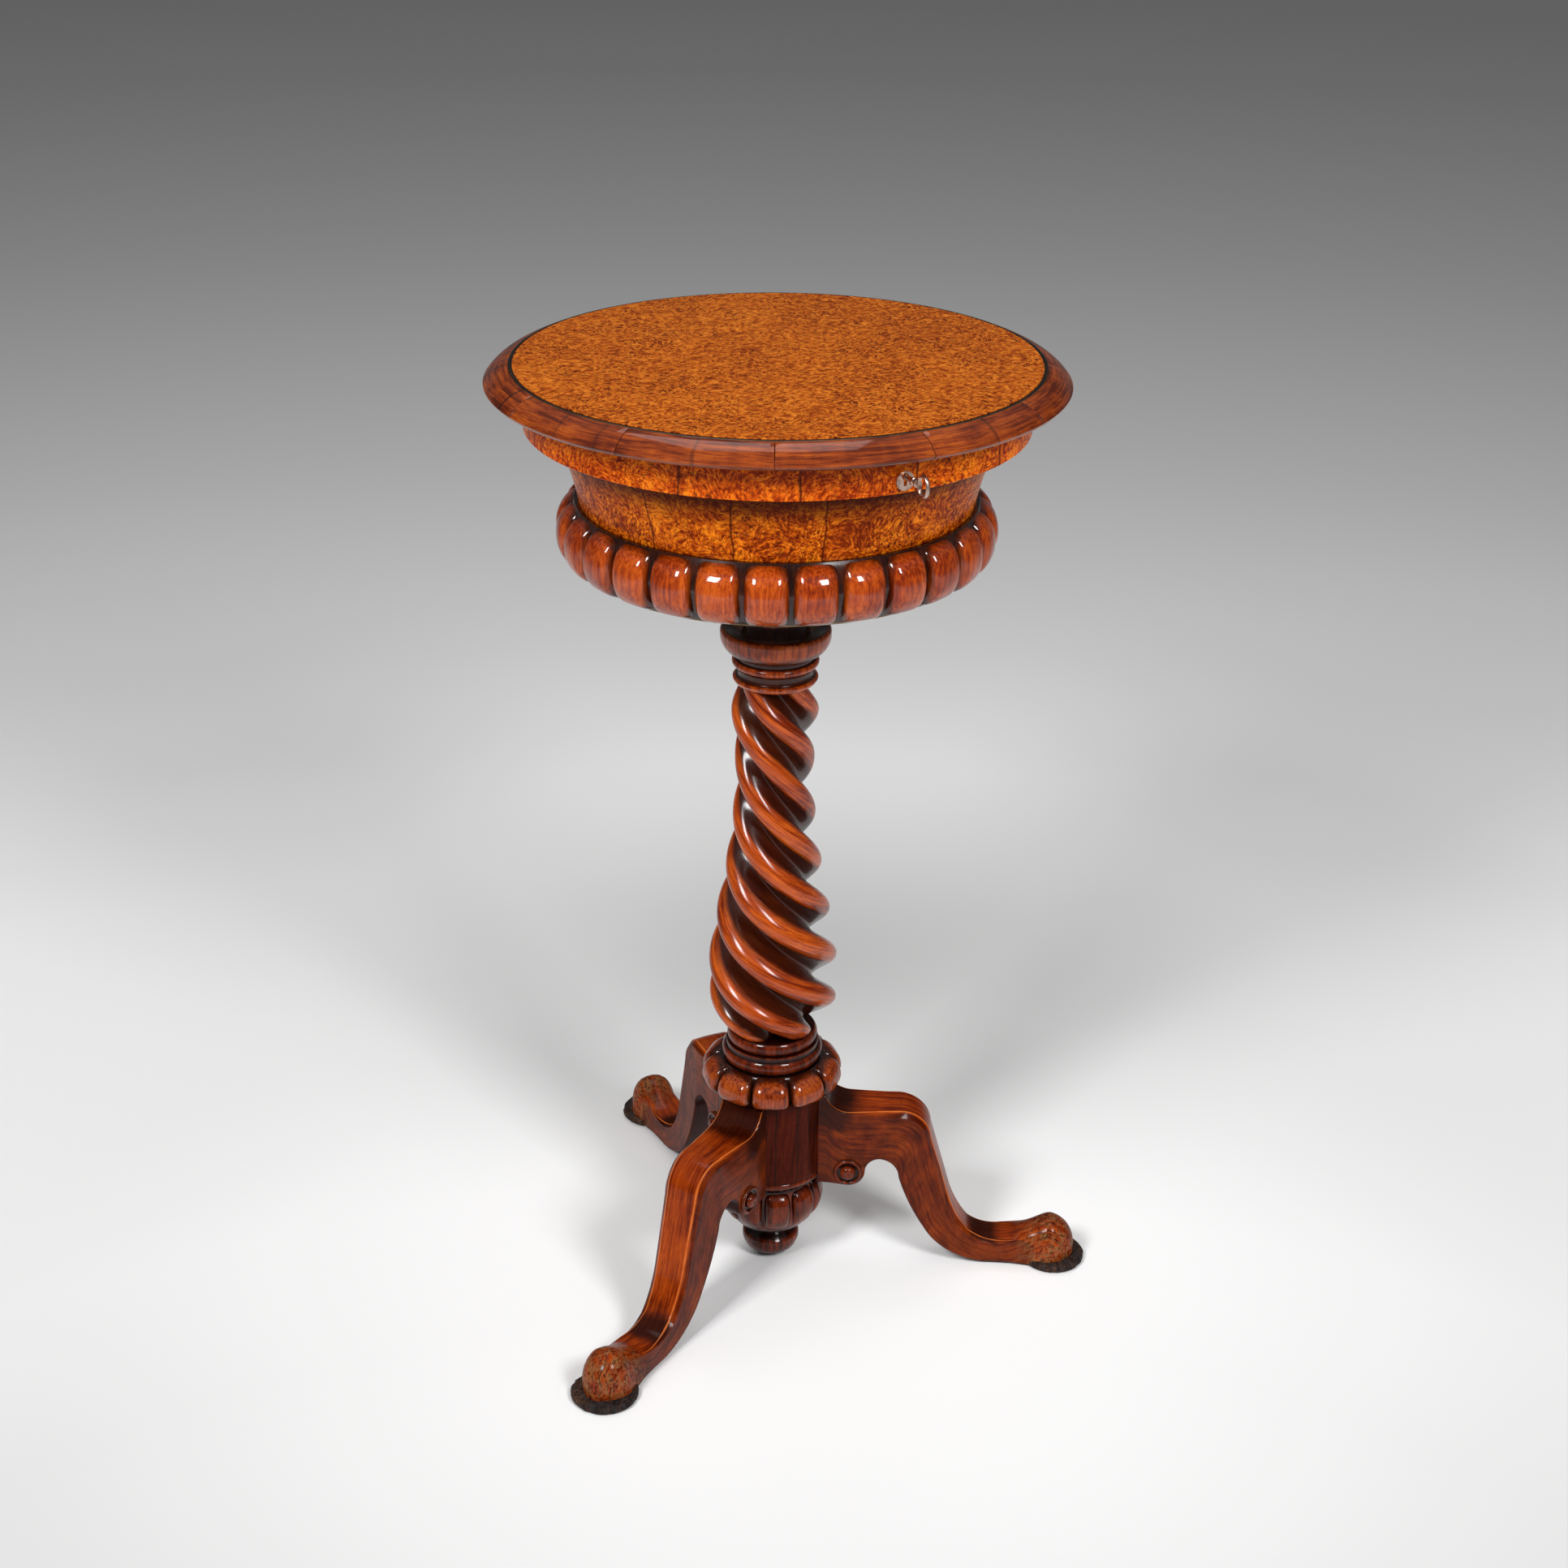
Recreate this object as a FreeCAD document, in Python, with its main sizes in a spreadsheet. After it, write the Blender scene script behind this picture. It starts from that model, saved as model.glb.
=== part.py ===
import FreeCAD, Part
import Sketcher
import math
import os

# Teapoy: a round tea table on a carved tripod
# All lengths are millimetres. Z points up, the floor is Z = 0 and the lock faces -Y.
# Heights count from the floor and radii from the column's axis, which stands column_y
# behind the origin, so that the origin is under the middle of the whole outline.

# Driving dimensions
SIZES = {
    # clearances
    "seat": 0.1,             # glue line between two fitted pieces
    "part_gap": 0.3,         # between the closed lid and the box
    "thread_gap": 0.05,      # round a screw in its hole
    "turning_gap": 0.05,     # round a hinge pin in its knuckles
    "overrun": 5,            # how far a cutting tool passes the face it cuts from
    # feet
    "pad_r": 27.2, "pad_thick": 7, "pad_edge": 2.6, "pad_ahead": 3.2,
    # leg, side view: hub end, scroll and arch
    "leg_width": 40, "leg_root": 36, "leg_underside": 81, "leg_shoulder": 167.7,
    "scroll_reach": 65, "scroll_height": 91.6, "scroll_r": 14.2,
    "arch_reach": 91.5, "arch_top": 104, "arch_r": 12.6, "arch_out_r": 17.5,
    # leg, side view: inner line down to the sole
    "calf_reach": 107.5, "calf_height": 87, "calf_r": 200, "heel_reach": 130,
    "heel_height": 36, "heel_r": 64, "sole_run": 56.5, "sole_height": 2.5,
    # leg, side view: toe, instep, shin, knee and dip, back to the hub
    "toe_reach": 237.5, "toe_r": 20.5, "toe_front": 14, "toe_front_r": 26, "toe_top": 41,
    "toe_back_run": 12.5, "toe_back_height": 35.9, "toe_back_r": 30,
    "instep_run": 25.5, "instep_height": 28.8, "ankle_r": 39, "ankle_run": 70.5,
    "ankle_height": 33, "shin_r": 92, "shin_reach": 150.5, "shin_height": 65,
    "knee_low_reach": 133.5, "knee_low": 125, "knee_r": 27, "knee_reach": 104,
    "knee_top": 149.4, "dip_reach": 68, "dip_height": 148.6, "dip_r": 22,
    "shoulder_reach": 44.5,
    # leg, seen from above
    "waist_run": 57.5, "waist_half": 15.5, "waist_in_r": 700, "waist_out_r": 300,
    "toe_join": 7.5,
    # dovetail that holds a leg in the hub
    "tail_root": 27, "tail_narrow": 8, "tail_wide": 11.5, "tail_top": 150,
    # roundels on the leg scrolls
    "roundel_r": 12, "roundel_rim": 2.2, "roundel_bed": 1.4, "roundel_rise": 1.1,
    "button_r": 6, "button_rise": 5, "button_top_r": 3,
    # hub and the drop below it
    "hub_r": 44.7, "hub_bottom": 91, "hub_top": 168,
    "spigot_r": 9, "spigot_length": 21,
    "drop_ring_r": 44, "drop_ring_bottom": 84, "drop_cove_r": 38, "drop_cove_z": 80.5,
    "drop_lobe_top": 79, "drop_lobe_bottom": 36, "drop_lobe_out": 46, "drop_lobe_r": 15,
    "drop_lobe_end": 7, "drop_core_top": 36, "drop_core_r": 38.5, "drop_core_low": 25,
    "drop_collar_z": 31, "drop_neck_r": 17.5, "drop_neck_z": 26,
    "knob_r": 23.6, "knob_top": 20, "knob_low_r": 22.5, "knob_low": 11, "knob_end_r": 13,
    "knob_end": 4, "knob_bow": 2, "drop_bow": 4, "drop_lobes": 10, "drop_turn": -1,
    # gadrooned collar round the foot of the column
    "collar_top": 193.5, "collar_out": 57.5, "collar_mid": 181, "collar_core_r": 48,
    "collar_core_end": 43, "collar_lobe_r": 16, "collar_lobe_half": 11.8,
    "collar_lobe_end": 8, "collar_lobes": 10, "collar_turn": -10.5,
    # turned mouldings at the foot of the column
    "tenon_r": 20, "tenon_bottom": 120,
    "foot_torus_r": 41.3, "foot_torus_top": 205, "foot_torus_in": 38.5,
    "foot_bead_r": 38, "foot_bead_top": 209, "foot_ring_r": 37, "foot_ring_in": 34.5,
    "shaft_bottom": 220,
    # twisted shaft: crest radius at the foot, belly, waist and neck
    "shaft_top": 527, "twist_bury": 1.5, "strands": 4, "lead": 172, "twist_turn": 29,
    "crest_foot": 30.5, "crest_belly": 53.5, "crest_waist": 31.2, "crest_swell": 34.2,
    "crest_neck": 30, "belly_z": 262, "waist_z": 455, "swell_z": 500, "hollow_share": 0.59,
    # capital
    "cap_ring_r": 33.2, "cap_ring_low_r": 31.6, "cap_ring_z": 529.5,
    "cap_ring_top": 532.5, "cap_cove_r": 29.5, "cap_cove_top": 540.5, "cap_cove_depth": 1.1,
    "cap_bead_r": 34, "cap_bead_top": 547, "cap_neck_r": 30.5, "cap_neck_top": 550,
    "cup_r": 43, "cup_z": 567, "cup_lip_r": 40, "cup_top": 572, "cup_floor_r": 27,
    "cup_bow": 4, "cup_floor": 566, "top_neck_r": 23, "top_neck_z": 576, "top_neck_bow": 4.5,
    "head_r": 34,
    "top_tenon_r": 16,
    # bearer under the box
    "bearer_r": 78, "bearer_bottom": 606, "bearer_top": 628, "bearer_lip_r": 62,
    "bearer_lip": 5, "bearer_bow": 3, "bearer_screw_ring": 50,
    # box: bottom, waist, shoulder, frieze
    "box_floor_top": 640, "well_r": 137, "waist_low_r": 147, "gadroon_top": 677,
    "waist_skin_low": 148.6, "waist_skin_high": 167, "waist_hollow": 1.9,
    "skin": 1.2, "frieze_bottom": 734.5, "shoulder_thick": 8, "frieze_in": 168,
    "frieze_r": 188.2, "frieze_skin": 1.5, "box_top": 764,
    # gadrooned ring round the box
    "gadroon_bottom": 630, "gadroon_out": 166.5, "gadroon_mid": 653, "gadroon_core_r": 158.3,
    "gadroon_core_top_r": 152, "gadroon_core_low_r": 149.5, "gadroon_lobe_r": 22.5,
    "gadroon_lobe_half": 23.4, "gadroon_lobe_end": 9.5, "gadroon_lobes": 28,
    "gadroon_turn": -4.3,
    # lid
    "lid_bottom": 764.3, "lid_top": 780.8, "lid_skin": 1.2, "veneer_r": 194.5,
    "string_r": 197.5, "string_drop": 0.9, "rim_r": 216, "rim_shoulder": 779.7,
    "rim_widest": 767.5, "rim_bow": 2, "rim_under_r": 213.4, "rim_segments": 12,
    "rim_joint": 0.15, "rim_turn": 1.97,
    # fittings inside the box
    "deck_thick": 6, "caddy_reach": 85, "caddy_x": 70, "caddy_y": 110, "caddy_wall": 5,
    "caddy_top": 740.5, "caddy_lid_top": 749, "caddy_plug": 4,
    "knob_seat_r": 5.5, "knob_waist_r": 3.2, "knob_ball_r": 6.5, "knob_ball_rise": 4,
    "lid_knob_rise": 11,
    "lid_knob_pin_r": 2.4, "lid_knob_pin": 3.5,
    "bowl_reach": 88, "bowl_r": 41, "bowl_wall": 2.6, "bowl_lip_r": 45.5, "bowl_lip": 2.6,
    "bowl_bottom": 672, "bowl_foot_r": 18, "bowl_bow": 5, "bowl_hole_r": 42,
    # butt hinges
    "hinge_x": 13, "hinge_length": 30, "leaf_thick": 1.5, "leaf_in": 173,
    "hinge_y": 191.4, "knuckle_r": 3, "pin_r": 1.2, "knuckle_share": 0.3,
    "knuckle_end_gap": 0.15, "knuckle_room": 0.7,
    # screws
    "screw_head_r": 2.6, "screw_head": 1.3, "screw_r": 1.25, "screw_length": 10,
    "hinge_screw_x": 8, "hinge_screw_y": 178.5,
    "bearer_head_r": 4.6, "bearer_head": 3, "bearer_screw_r": 2.2, "bearer_screw": 30,
    # lock, key and link plate
    "lock_x": 25, "lock_out": 180, "lock_in": 170, "lock_bottom": 738, "lock_wall": 1.2,
    "plate_x": 31, "plate_out": 181.8, "plate_in": 168.4, "plate_thick": 1.5,
    "lock_screw_x": 28, "staple_x": 10, "staple_wide": 3.5, "staple_y": 5,
    "staple_drop": 11, "slot_room": 0.9,
    "bolt_start": -20, "bolt_body": 3.5, "bolt_tip": 8.4, "bolt_low": 755.4,
    "bolt_high": 759.6, "bolt_tongue": 2, "guide_x": 9, "slide_room": 0.1,
    "key_z": 746.5, "shank_r": 1.9, "bit_drop": 5.6, "bit_thick": 1.3, "bit_y": 4,
    "bit_in": 173.2, "key_in": 172.6, "collar_key_r": 3.1, "key_collar": 2.2,
    "key_collar_y": 199, "bow_y": 213, "bow_half_y": 7, "bow_half_z": 8.5,
    "bow_wire": 2.4, "bow_thick": 3,
    "keyhole_r": 2.5, "keyhole_wide": 2.6, "keyhole_drop": 6.6,
    "plate_r": 6.9, "plate_drop": 3.1, "plate_proud": 0.7,
    "link_x": 22, "link_half_y": 6, "link_thick": 1.5, "link_screw_x": 17,
}

LEGS = {"left": -150, "right": -30, "back": 90}       # name and azimuth in degrees
LOBE_SIDE = 0.6         # how much of a lobe's height is upright, between its corners
LOBE_CORNER = 0.45      # how far a corner bows out above a shoulder, as a share of its height
PENDANT_BORE = 0.6      # bore of the lobed part of the drop, as a share of its rod
TWIST_ROWS = 36         # stations along the twisted shaft
STRAND_POINTS = 16      # stations across one strand
ROPE_HALF = 0.7         # half width of the oval that rounds a strand's back, as a share
ROPE_TURN = 0.6         # where that back turns into the hollow, as a share
FOOT_FLARE = 0.7        # under 1 makes the shaft swell quickly above its foot
BELLY_EASE = 0.85       # under 1 makes it thin out early above the belly

doc = FreeCAD.newDocument("Teapoy")
sheet = doc.addObject("Spreadsheet::Sheet", "Sizes")
for row, (alias, number) in enumerate(SIZES.items(), start=1):
    sheet.set(f"A{row}", alias)
    sheet.set(f"B{row}", str(number))
    sheet.setAlias(f"B{row}", alias)
doc.recompute()


class Size:
    """A number together with the expression that works it out from the sheet."""

    def __init__(self, value, text):
        self.value, self.text = value, text

    def __add__(self, other):
        other = as_size(other)
        return Size(self.value + other.value, f"({self.text} + {other.text})")

    def __sub__(self, other):
        other = as_size(other)
        return Size(self.value - other.value, f"({self.text} - {other.text})")

    def __mul__(self, other):
        other = as_size(other)
        return Size(self.value * other.value, f"{self.text} * {other.text}")

    def __truediv__(self, other):
        other = as_size(other)
        return Size(self.value / other.value, f"({self.text}) / ({other.text})")

    def __rsub__(self, other):
        return as_size(other) - self

    def __rtruediv__(self, other):
        return as_size(other) / self

    def __neg__(self):
        return Size(-self.value, f"(0 - {self.text})")

    __radd__ = __add__
    __rmul__ = __mul__


def as_size(number):
    return number if isinstance(number, Size) else Size(float(number), repr(number))


def size(alias):
    """The cell with this alias."""
    return Size(float(sheet.get(alias)), f"Sizes.{alias}")


def sine(degrees):
    degrees = as_size(degrees)
    return Size(math.sin(math.radians(degrees.value)), f"sin(1 deg * {degrees.text})")


def cosine(degrees):
    degrees = as_size(degrees)
    return Size(math.cos(math.radians(degrees.value)), f"cos(1 deg * {degrees.text})")


def root(square):
    return Size(math.sqrt(square.value), f"sqrt({square.text})")


class Sizes:
    """Reads a cell as an attribute, as in s.hub_r."""

    def __getattr__(self, alias):
        return size(alias)


s = Sizes()
FOOT_REACH = s.toe_reach + s.pad_ahead
KEY_END = s.bow_y + s.bow_half_y
TOE_END = FOOT_REACH + s.pad_r
COLUMN_Y = (KEY_END - TOE_END) / 2


# Helpers: binding, placing, sketching

def bind(thing, name, value):
    """Sets a property from a Size and keeps it bound to the sheet."""
    value = as_size(value)
    thing.setExpression(name, value.text)


def place(thing, x=0, y=0, z=0, turn=0, axis=(0, 0, 1)):
    """Puts a piece beside the column's axis, turned by so many degrees."""
    turn = as_size(turn)
    spin = FreeCAD.Rotation(FreeCAD.Vector(*axis), turn.value)
    thing.Placement = FreeCAD.Placement(FreeCAD.Vector(), spin)
    for letter, value in zip("xyz", (x, COLUMN_Y + y, z)):
        bind(thing, f"Placement.Base.{letter}", value)
    if turn.text.startswith("Sizes"):
        bind(thing, "Placement.Rotation.Angle", turn)
    return thing


def origin_plane(body, role):
    return next(item for item in body.Origin.OriginFeatures if item.Role == role)


def outline(body, name, plane, points, lift=None, loops=(), axis_at=None):
    """Closed sketch through points (x, y) or (x, y, radius), anticlockwise.

    A radius bends the edge that follows the point: outwards if positive, hollow if
    negative. lift moves the sketch along its plane's normal; loops are inner outlines;
    axis_at adds a construction line there to turn the profile about.
    """
    sketch = body.newObject("Sketcher::SketchObject", name)
    sketch.AttachmentSupport = [(origin_plane(body, plane), "")]
    sketch.MapMode = "FlatFace"
    if lift is not None:
        bind(sketch, "AttachmentOffset.Base.z", lift)
    edges, rules, bound = [], [], []

    def rule(kind, *numbers, value=None):
        if value is None:
            rules.append(Sketcher.Constraint(kind, *numbers))
        else:
            bound.append((len(rules), value))
            rules.append(Sketcher.Constraint(kind, *numbers, value.value))

    for loop in (points, *loops):
        first, count = len(edges), len(loop)
        starts = []
        for at, corner in enumerate(loop):
            x, y = (as_size(value).value for value in corner[:2])
            nx, ny = (as_size(value).value for value in loop[(at + 1) % count][:2])
            here, there = FreeCAD.Vector(x, y, 0), FreeCAD.Vector(nx, ny, 0)
            if len(corner) == 2:
                edges.append(Part.LineSegment(here, there))
                starts.append(1)
                continue
            edges.append(bent_edge(here, there, corner[2].value))
            starts.append(1 if corner[2].value > 0 else 2)
            radius = corner[2] if corner[2].value > 0 else -corner[2]
            rule("Radius", first + at, value=radius)
        for at, corner in enumerate(loop):
            edge, after = first + at, (at + 1) % count
            rule("Coincident", edge, 3 - starts[at], first + after, starts[after])
            for letter, value, zero_line in (("X", corner[0], -2), ("Y", corner[1], -1)):
                if isinstance(value, Size):
                    rule("Distance" + letter, -1, 1, edge, starts[at], value=value)
                else:
                    rule("PointOnObject", edge, starts[at], zero_line)
    sketch.addGeometry(edges, False)
    if axis_at is not None:
        low, high = axis_at
        ends = [FreeCAD.Vector(as_size(v).value, as_size(w).value, 0)
                for v, w in (points[low][:2], points[high][:2])]
        line = sketch.addGeometry(Part.LineSegment(*ends), True)
        for end, at in ((1, low), (2, high)):
            side = 1 if len(points[at]) == 2 or points[at][2].value > 0 else 2
            rule("Coincident", line, end, at, side)
    sketch.addConstraint(rules)
    for index, value in bound:
        sketch.setExpression(f"Constraints[{index}]", value.text)
    return sketch


def bent_edge(here, there, radius):
    """Arc between two points, less than half a circle."""
    chord = there.sub(here)
    middle = (here + there) * 0.5
    left = FreeCAD.Vector(-chord.y, chord.x, 0).normalize()
    depth = math.sqrt(max(radius ** 2 - chord.Length ** 2 / 4, 0))
    centre = middle + left * math.copysign(depth, radius)
    circle = Part.Circle(centre, FreeCAD.Vector(0, 0, 1), abs(radius))
    start, end = (here, there) if radius > 0 else (there, here)
    return Part.ArcOfCircle(circle, circle.parameter(start), circle.parameter(end))


def new_body(name):
    body = doc.addObject("PartDesign::Body", name)
    body.Label = name
    return body


def revolve(body, sketch, axis="V_Axis", angle=360):
    turn = body.newObject("PartDesign::Revolution", sketch.Name + "_turned")
    turn.Profile = (sketch, [""])
    turn.ReferenceAxis = (sketch, [axis])
    turn.Angle = angle
    return turn


def turned(name, points):
    """Lathe work: a profile of radii and heights turned about the column's axis."""
    body = new_body(name)
    revolve(body, outline(body, name + "_profile", "XZ_Plane", points))
    return place(body)


def pad(body, sketch, length, symmetric=False):
    feature = body.newObject("PartDesign::Pad", sketch.Name + "_pad")
    feature.Profile = (sketch, [""])
    bind(feature, "Length", length)
    if symmetric:
        feature.SideType = "Symmetric"
    return feature


def slab(name, points, bottom, thick, loops=()):
    """Flat board cut to an outline seen from above."""
    body = new_body(name)
    pad(body, outline(body, name + "_plan", "XY_Plane", points, bottom, loops), thick)
    return body


def rectangle(low_x, high_x, low_y, high_y):
    return [(low_x, low_y), (high_x, low_y), (high_x, high_y), (low_x, high_y)]


def round_hole(x, y, radius):
    """Four quarter arcs about a centre, as an inner loop."""
    quarter = radius
    return [(x + radius, y, quarter), (x, y + radius, quarter),
            (x - radius, y, quarter), (x, y - radius, quarter)]


def bowed(start, end, rise, steps):
    """Points from start to before end along a bow cut as straight steps.

    It rises to the right of its travel, or to the left where rise is negative. Turned
    work takes a few cones this way, which keep its mesh light.
    """
    run_x, run_y = as_size(end[0]) - start[0], as_size(end[1]) - start[1]
    long = root(run_x * run_x + run_y * run_y)
    points = [start]
    for step in range(1, steps):
        share = step / steps
        off = as_size(rise) * (4 * share * (1 - share)) / long
        points.append((start[0] + run_x * share + off * run_y,
                       start[1] + run_y * share - off * run_x))
    return points


def cylinder(name, radius, height, x=0, y=0, z=0, along="z"):
    """Plain rod or drilling tool; along names the axis it follows."""
    rod = doc.addObject("Part::Cylinder", name)
    bind(rod, "Radius", radius)
    bind(rod, "Height", height)
    turn, axis = {"z": (0, (0, 0, 1)), "x": (90, (0, 1, 0)), "y": (-90, (1, 0, 0))}[along]
    return place(rod, x, y, z, turn, axis)


def block(name, x, y, z, long, wide, tall):
    """Plain box from its low corner."""
    box = doc.addObject("Part::Box", name)
    for side, value in (("Length", long), ("Width", wide), ("Height", tall)):
        bind(box, side, value)
    return place(box, x, y, z)


def joined(name, pieces):
    """One solid from pieces that overlap or touch."""
    whole = doc.addObject("Part::MultiFuse", name)
    whole.Label = name
    whole.Shapes = pieces
    return whole


def cut(name, base, tool):
    left = doc.addObject("Part::Cut", name)
    left.Label = name
    left.Base, left.Tool = base, tool
    return left


def group(name, pieces):
    """Separate like pieces kept under one name."""
    bundle = doc.addObject("Part::Compound", name)
    bundle.Label = name
    bundle.Links = pieces
    return bundle


# Feet: turned pads glued under the toes

def foot_pads():
    made = []
    for side, azimuth in LEGS.items():
        pad_edge_end = s.pad_r - s.pad_edge
        body = turned(f"foot_pad_{side}", [
            (0, 0), (pad_edge_end, 0), (s.pad_r, s.pad_edge),
            (s.pad_r, s.pad_thick - s.pad_edge), (pad_edge_end, s.pad_thick), (0, s.pad_thick)])
        place(body, FOOT_REACH * cosine(azimuth), FOOT_REACH * sine(azimuth))
        made.append(body)
    return made


# Legs: sawn to a side view, narrowed to a plan, rounded over at the toe

def leg_side():
    """Side view: the sole and arch first, then back over toe, ankle, knee and dip."""
    toe_end = s.toe_reach + s.toe_r
    return [
        (s.leg_root, s.leg_underside), (s.scroll_reach, s.scroll_height - s.scroll_r, s.scroll_r),
        (s.scroll_reach + s.scroll_r, s.scroll_height, -s.arch_r),
        (s.arch_reach, s.arch_top, -s.arch_out_r), (s.calf_reach, s.calf_height, s.calf_r),
        (s.heel_reach, s.heel_height, s.heel_r), (s.toe_reach - s.sole_run, s.sole_height),
        (toe_end, s.sole_height), (toe_end, s.toe_front, s.toe_front_r),
        (s.toe_reach, s.toe_top, s.toe_back_r),
        (s.toe_reach - s.toe_back_run, s.toe_back_height),
        (s.toe_reach - s.instep_run, s.instep_height, -s.ankle_r),
        (s.toe_reach - s.ankle_run, s.ankle_height, -s.shin_r),
        (s.shin_reach, s.shin_height), (s.knee_low_reach, s.knee_low, s.knee_r),
        (s.knee_reach, s.knee_top), (s.dip_reach, s.dip_height, -s.dip_r),
        (s.shoulder_reach, s.leg_shoulder), (s.leg_root, s.leg_shoulder)]


def leg_plan():
    """Plan: parallel cheeks to the knee, drawn in at the ankle, a round toe."""
    half, waist = s.leg_width / 2, s.waist_half
    waist_x, join_x = s.toe_reach - s.waist_run, s.toe_reach - s.toe_join
    join_y = root(s.toe_r * s.toe_r - s.toe_join * s.toe_join)
    return [
        (s.leg_root - s.overrun, -half), (s.knee_reach, -half, -s.waist_in_r),
        (waist_x, -waist, -s.waist_out_r), (join_x, -join_y, s.toe_r),
        (s.toe_reach + s.toe_r, 0, s.toe_r), (join_x, join_y, -s.waist_out_r),
        (waist_x, waist, -s.waist_in_r), (s.knee_reach, half),
        (s.leg_root - s.overrun, half)]


def shave(body, name, plane, blank, keep, length, lift=None, symmetric=True):
    """Cuts away all that lies inside the blank's outline and outside the kept one."""
    cutter = body.newObject("PartDesign::Pocket", name)
    cutter.Profile = (outline(body, name + "_outline", plane, blank, lift, [keep]), [""])
    bind(cutter, "Length", length)
    if symmetric:
        cutter.SideType = "Symmetric"
    else:
        cutter.Reversed = True
    return cutter


def leg(side, azimuth):
    body = new_body(f"leg_{side}")
    pad(body, outline(body, body.Name + "_side", "XZ_Plane", leg_side()), s.toe_r * 2,
        symmetric=True)
    wide, end = s.toe_r + s.overrun, s.toe_reach + s.toe_r + s.overrun
    instep = s.toe_reach - s.instep_run
    shave(body, body.Name + "_narrowing", "XY_Plane",
          rectangle(s.leg_root - s.overrun * 2, end, -wide, wide), leg_plan(),
          s.leg_shoulder * 2 + s.overrun)
    tall = s.toe_top - s.toe_r
    crown = [(-s.toe_r, -s.overrun), (s.toe_r, -s.overrun), (s.toe_r, tall, s.toe_r),
             (0, s.toe_top, s.toe_r), (-s.toe_r, tall)]
    shave(body, body.Name + "_toe_rounding", "YZ_Plane",
          rectangle(-wide, wide, -s.overrun * 2, s.toe_top + s.overrun), crown,
          end - instep, instep, symmetric=False)
    for name, radius, height, x in (
            ("scribe", s.hub_r + s.seat, s.leg_shoulder + s.overrun, 0),
            ("recess", s.pad_r + s.seat, s.pad_thick + s.seat + s.overrun, FOOT_REACH)):
        tool = body.newObject("PartDesign::SubtractiveCylinder", f"{body.Name}_{name}")
        bind(tool, "Radius", radius)
        bind(tool, "Height", height)
        bind(tool, "Placement.Base.x", x)
        if name == "recess":
            bind(tool, "Placement.Base.z", -s.overrun)
    tail_in, tail_out = s.tail_root + s.seat, s.hub_r + s.seat * 2
    tail = [(tail_in, s.seat - s.tail_wide), (tail_out, s.seat - s.tail_narrow),
            (tail_out, s.tail_narrow - s.seat), (tail_in, s.tail_wide - s.seat)]
    pad(body, outline(body, body.Name + "_tail", "XY_Plane", tail, s.hub_bottom),
        s.tail_top - s.hub_bottom)
    return place(body, turn=azimuth)


def roundels():
    """Turned bosses, one on each cheek of each scroll: a rim, a sunk bed and a button."""
    made = []
    for side, azimuth in LEGS.items():
        for cheek in (-1, 1):
            rim_in = s.roundel_r - s.roundel_rim * 2
            boss = turned(f"roundel_{side}_{'near' if cheek < 0 else 'far'}", [
                (0, 0), (s.roundel_r, 0),
                *bowed((s.roundel_r, s.roundel_bed), (rim_in, s.roundel_bed), s.roundel_rise, 3),
                (rim_in, s.roundel_bed), (s.button_r, s.roundel_bed),
                (s.button_top_r, s.button_rise), (0, s.button_rise)])
            reach, off = s.scroll_reach, s.leg_width / 2 * cheek
            x = reach * cosine(azimuth) - off * sine(azimuth)
            y = reach * sine(azimuth) + off * cosine(azimuth)
            spin = FreeCAD.Rotation(FreeCAD.Vector(0, 0, 1), azimuth).multiply(
                FreeCAD.Rotation(FreeCAD.Vector(1, 0, 0), -90 * cheek))
            place(boss, x, y, s.scroll_height)
            boss.Placement.Rotation = spin
            made.append(boss)
    return group("leg_roundels", made)


# Hub: a turned drum, bored for the column and slotted for the three dovetails

def hub():
    bore, drop_bore = s.tenon_r + s.seat, s.spigot_r + s.seat
    drum = turned("hub", [
        (drop_bore, s.hub_bottom), (s.hub_r, s.hub_bottom), (s.hub_r, s.hub_top),
        (bore, s.hub_top), (bore, s.tenon_bottom - s.seat), (0, s.tenon_bottom - s.seat),
        (0, s.hub_bottom + s.spigot_length + s.seat),
        (drop_bore, s.hub_bottom + s.spigot_length + s.seat)])
    past = s.hub_r + s.overrun
    flare = (s.tail_wide - s.tail_narrow) / (s.hub_r - s.tail_root)
    narrow = s.tail_narrow - flare * s.overrun
    slot = outline(drum, "hub_slot", "XY_Plane", [
        (s.tail_root, -s.tail_wide), (past, -narrow), (past, narrow),
        (s.tail_root, s.tail_wide)], s.hub_bottom - s.overrun)
    opened = drum.newObject("PartDesign::Pocket", "hub_slot_cut")
    opened.Profile = (slot, [""])
    opened.Reversed = True
    bind(opened, "Length", s.tail_top + s.seat - s.hub_bottom + s.overrun)
    doc.recompute()
    ring = drum.newObject("PartDesign::PolarPattern", "hub_slots")
    ring.Originals = [opened]
    ring.Axis = (origin_plane(drum, "Z_Axis"), [""])
    ring.Angle = 360
    ring.Occurrences = len(LEGS)
    drum.Tip = ring
    return place(drum, turn=LEGS["right"])


# Gadroons: upright barrel lobes set round a turned core

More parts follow.
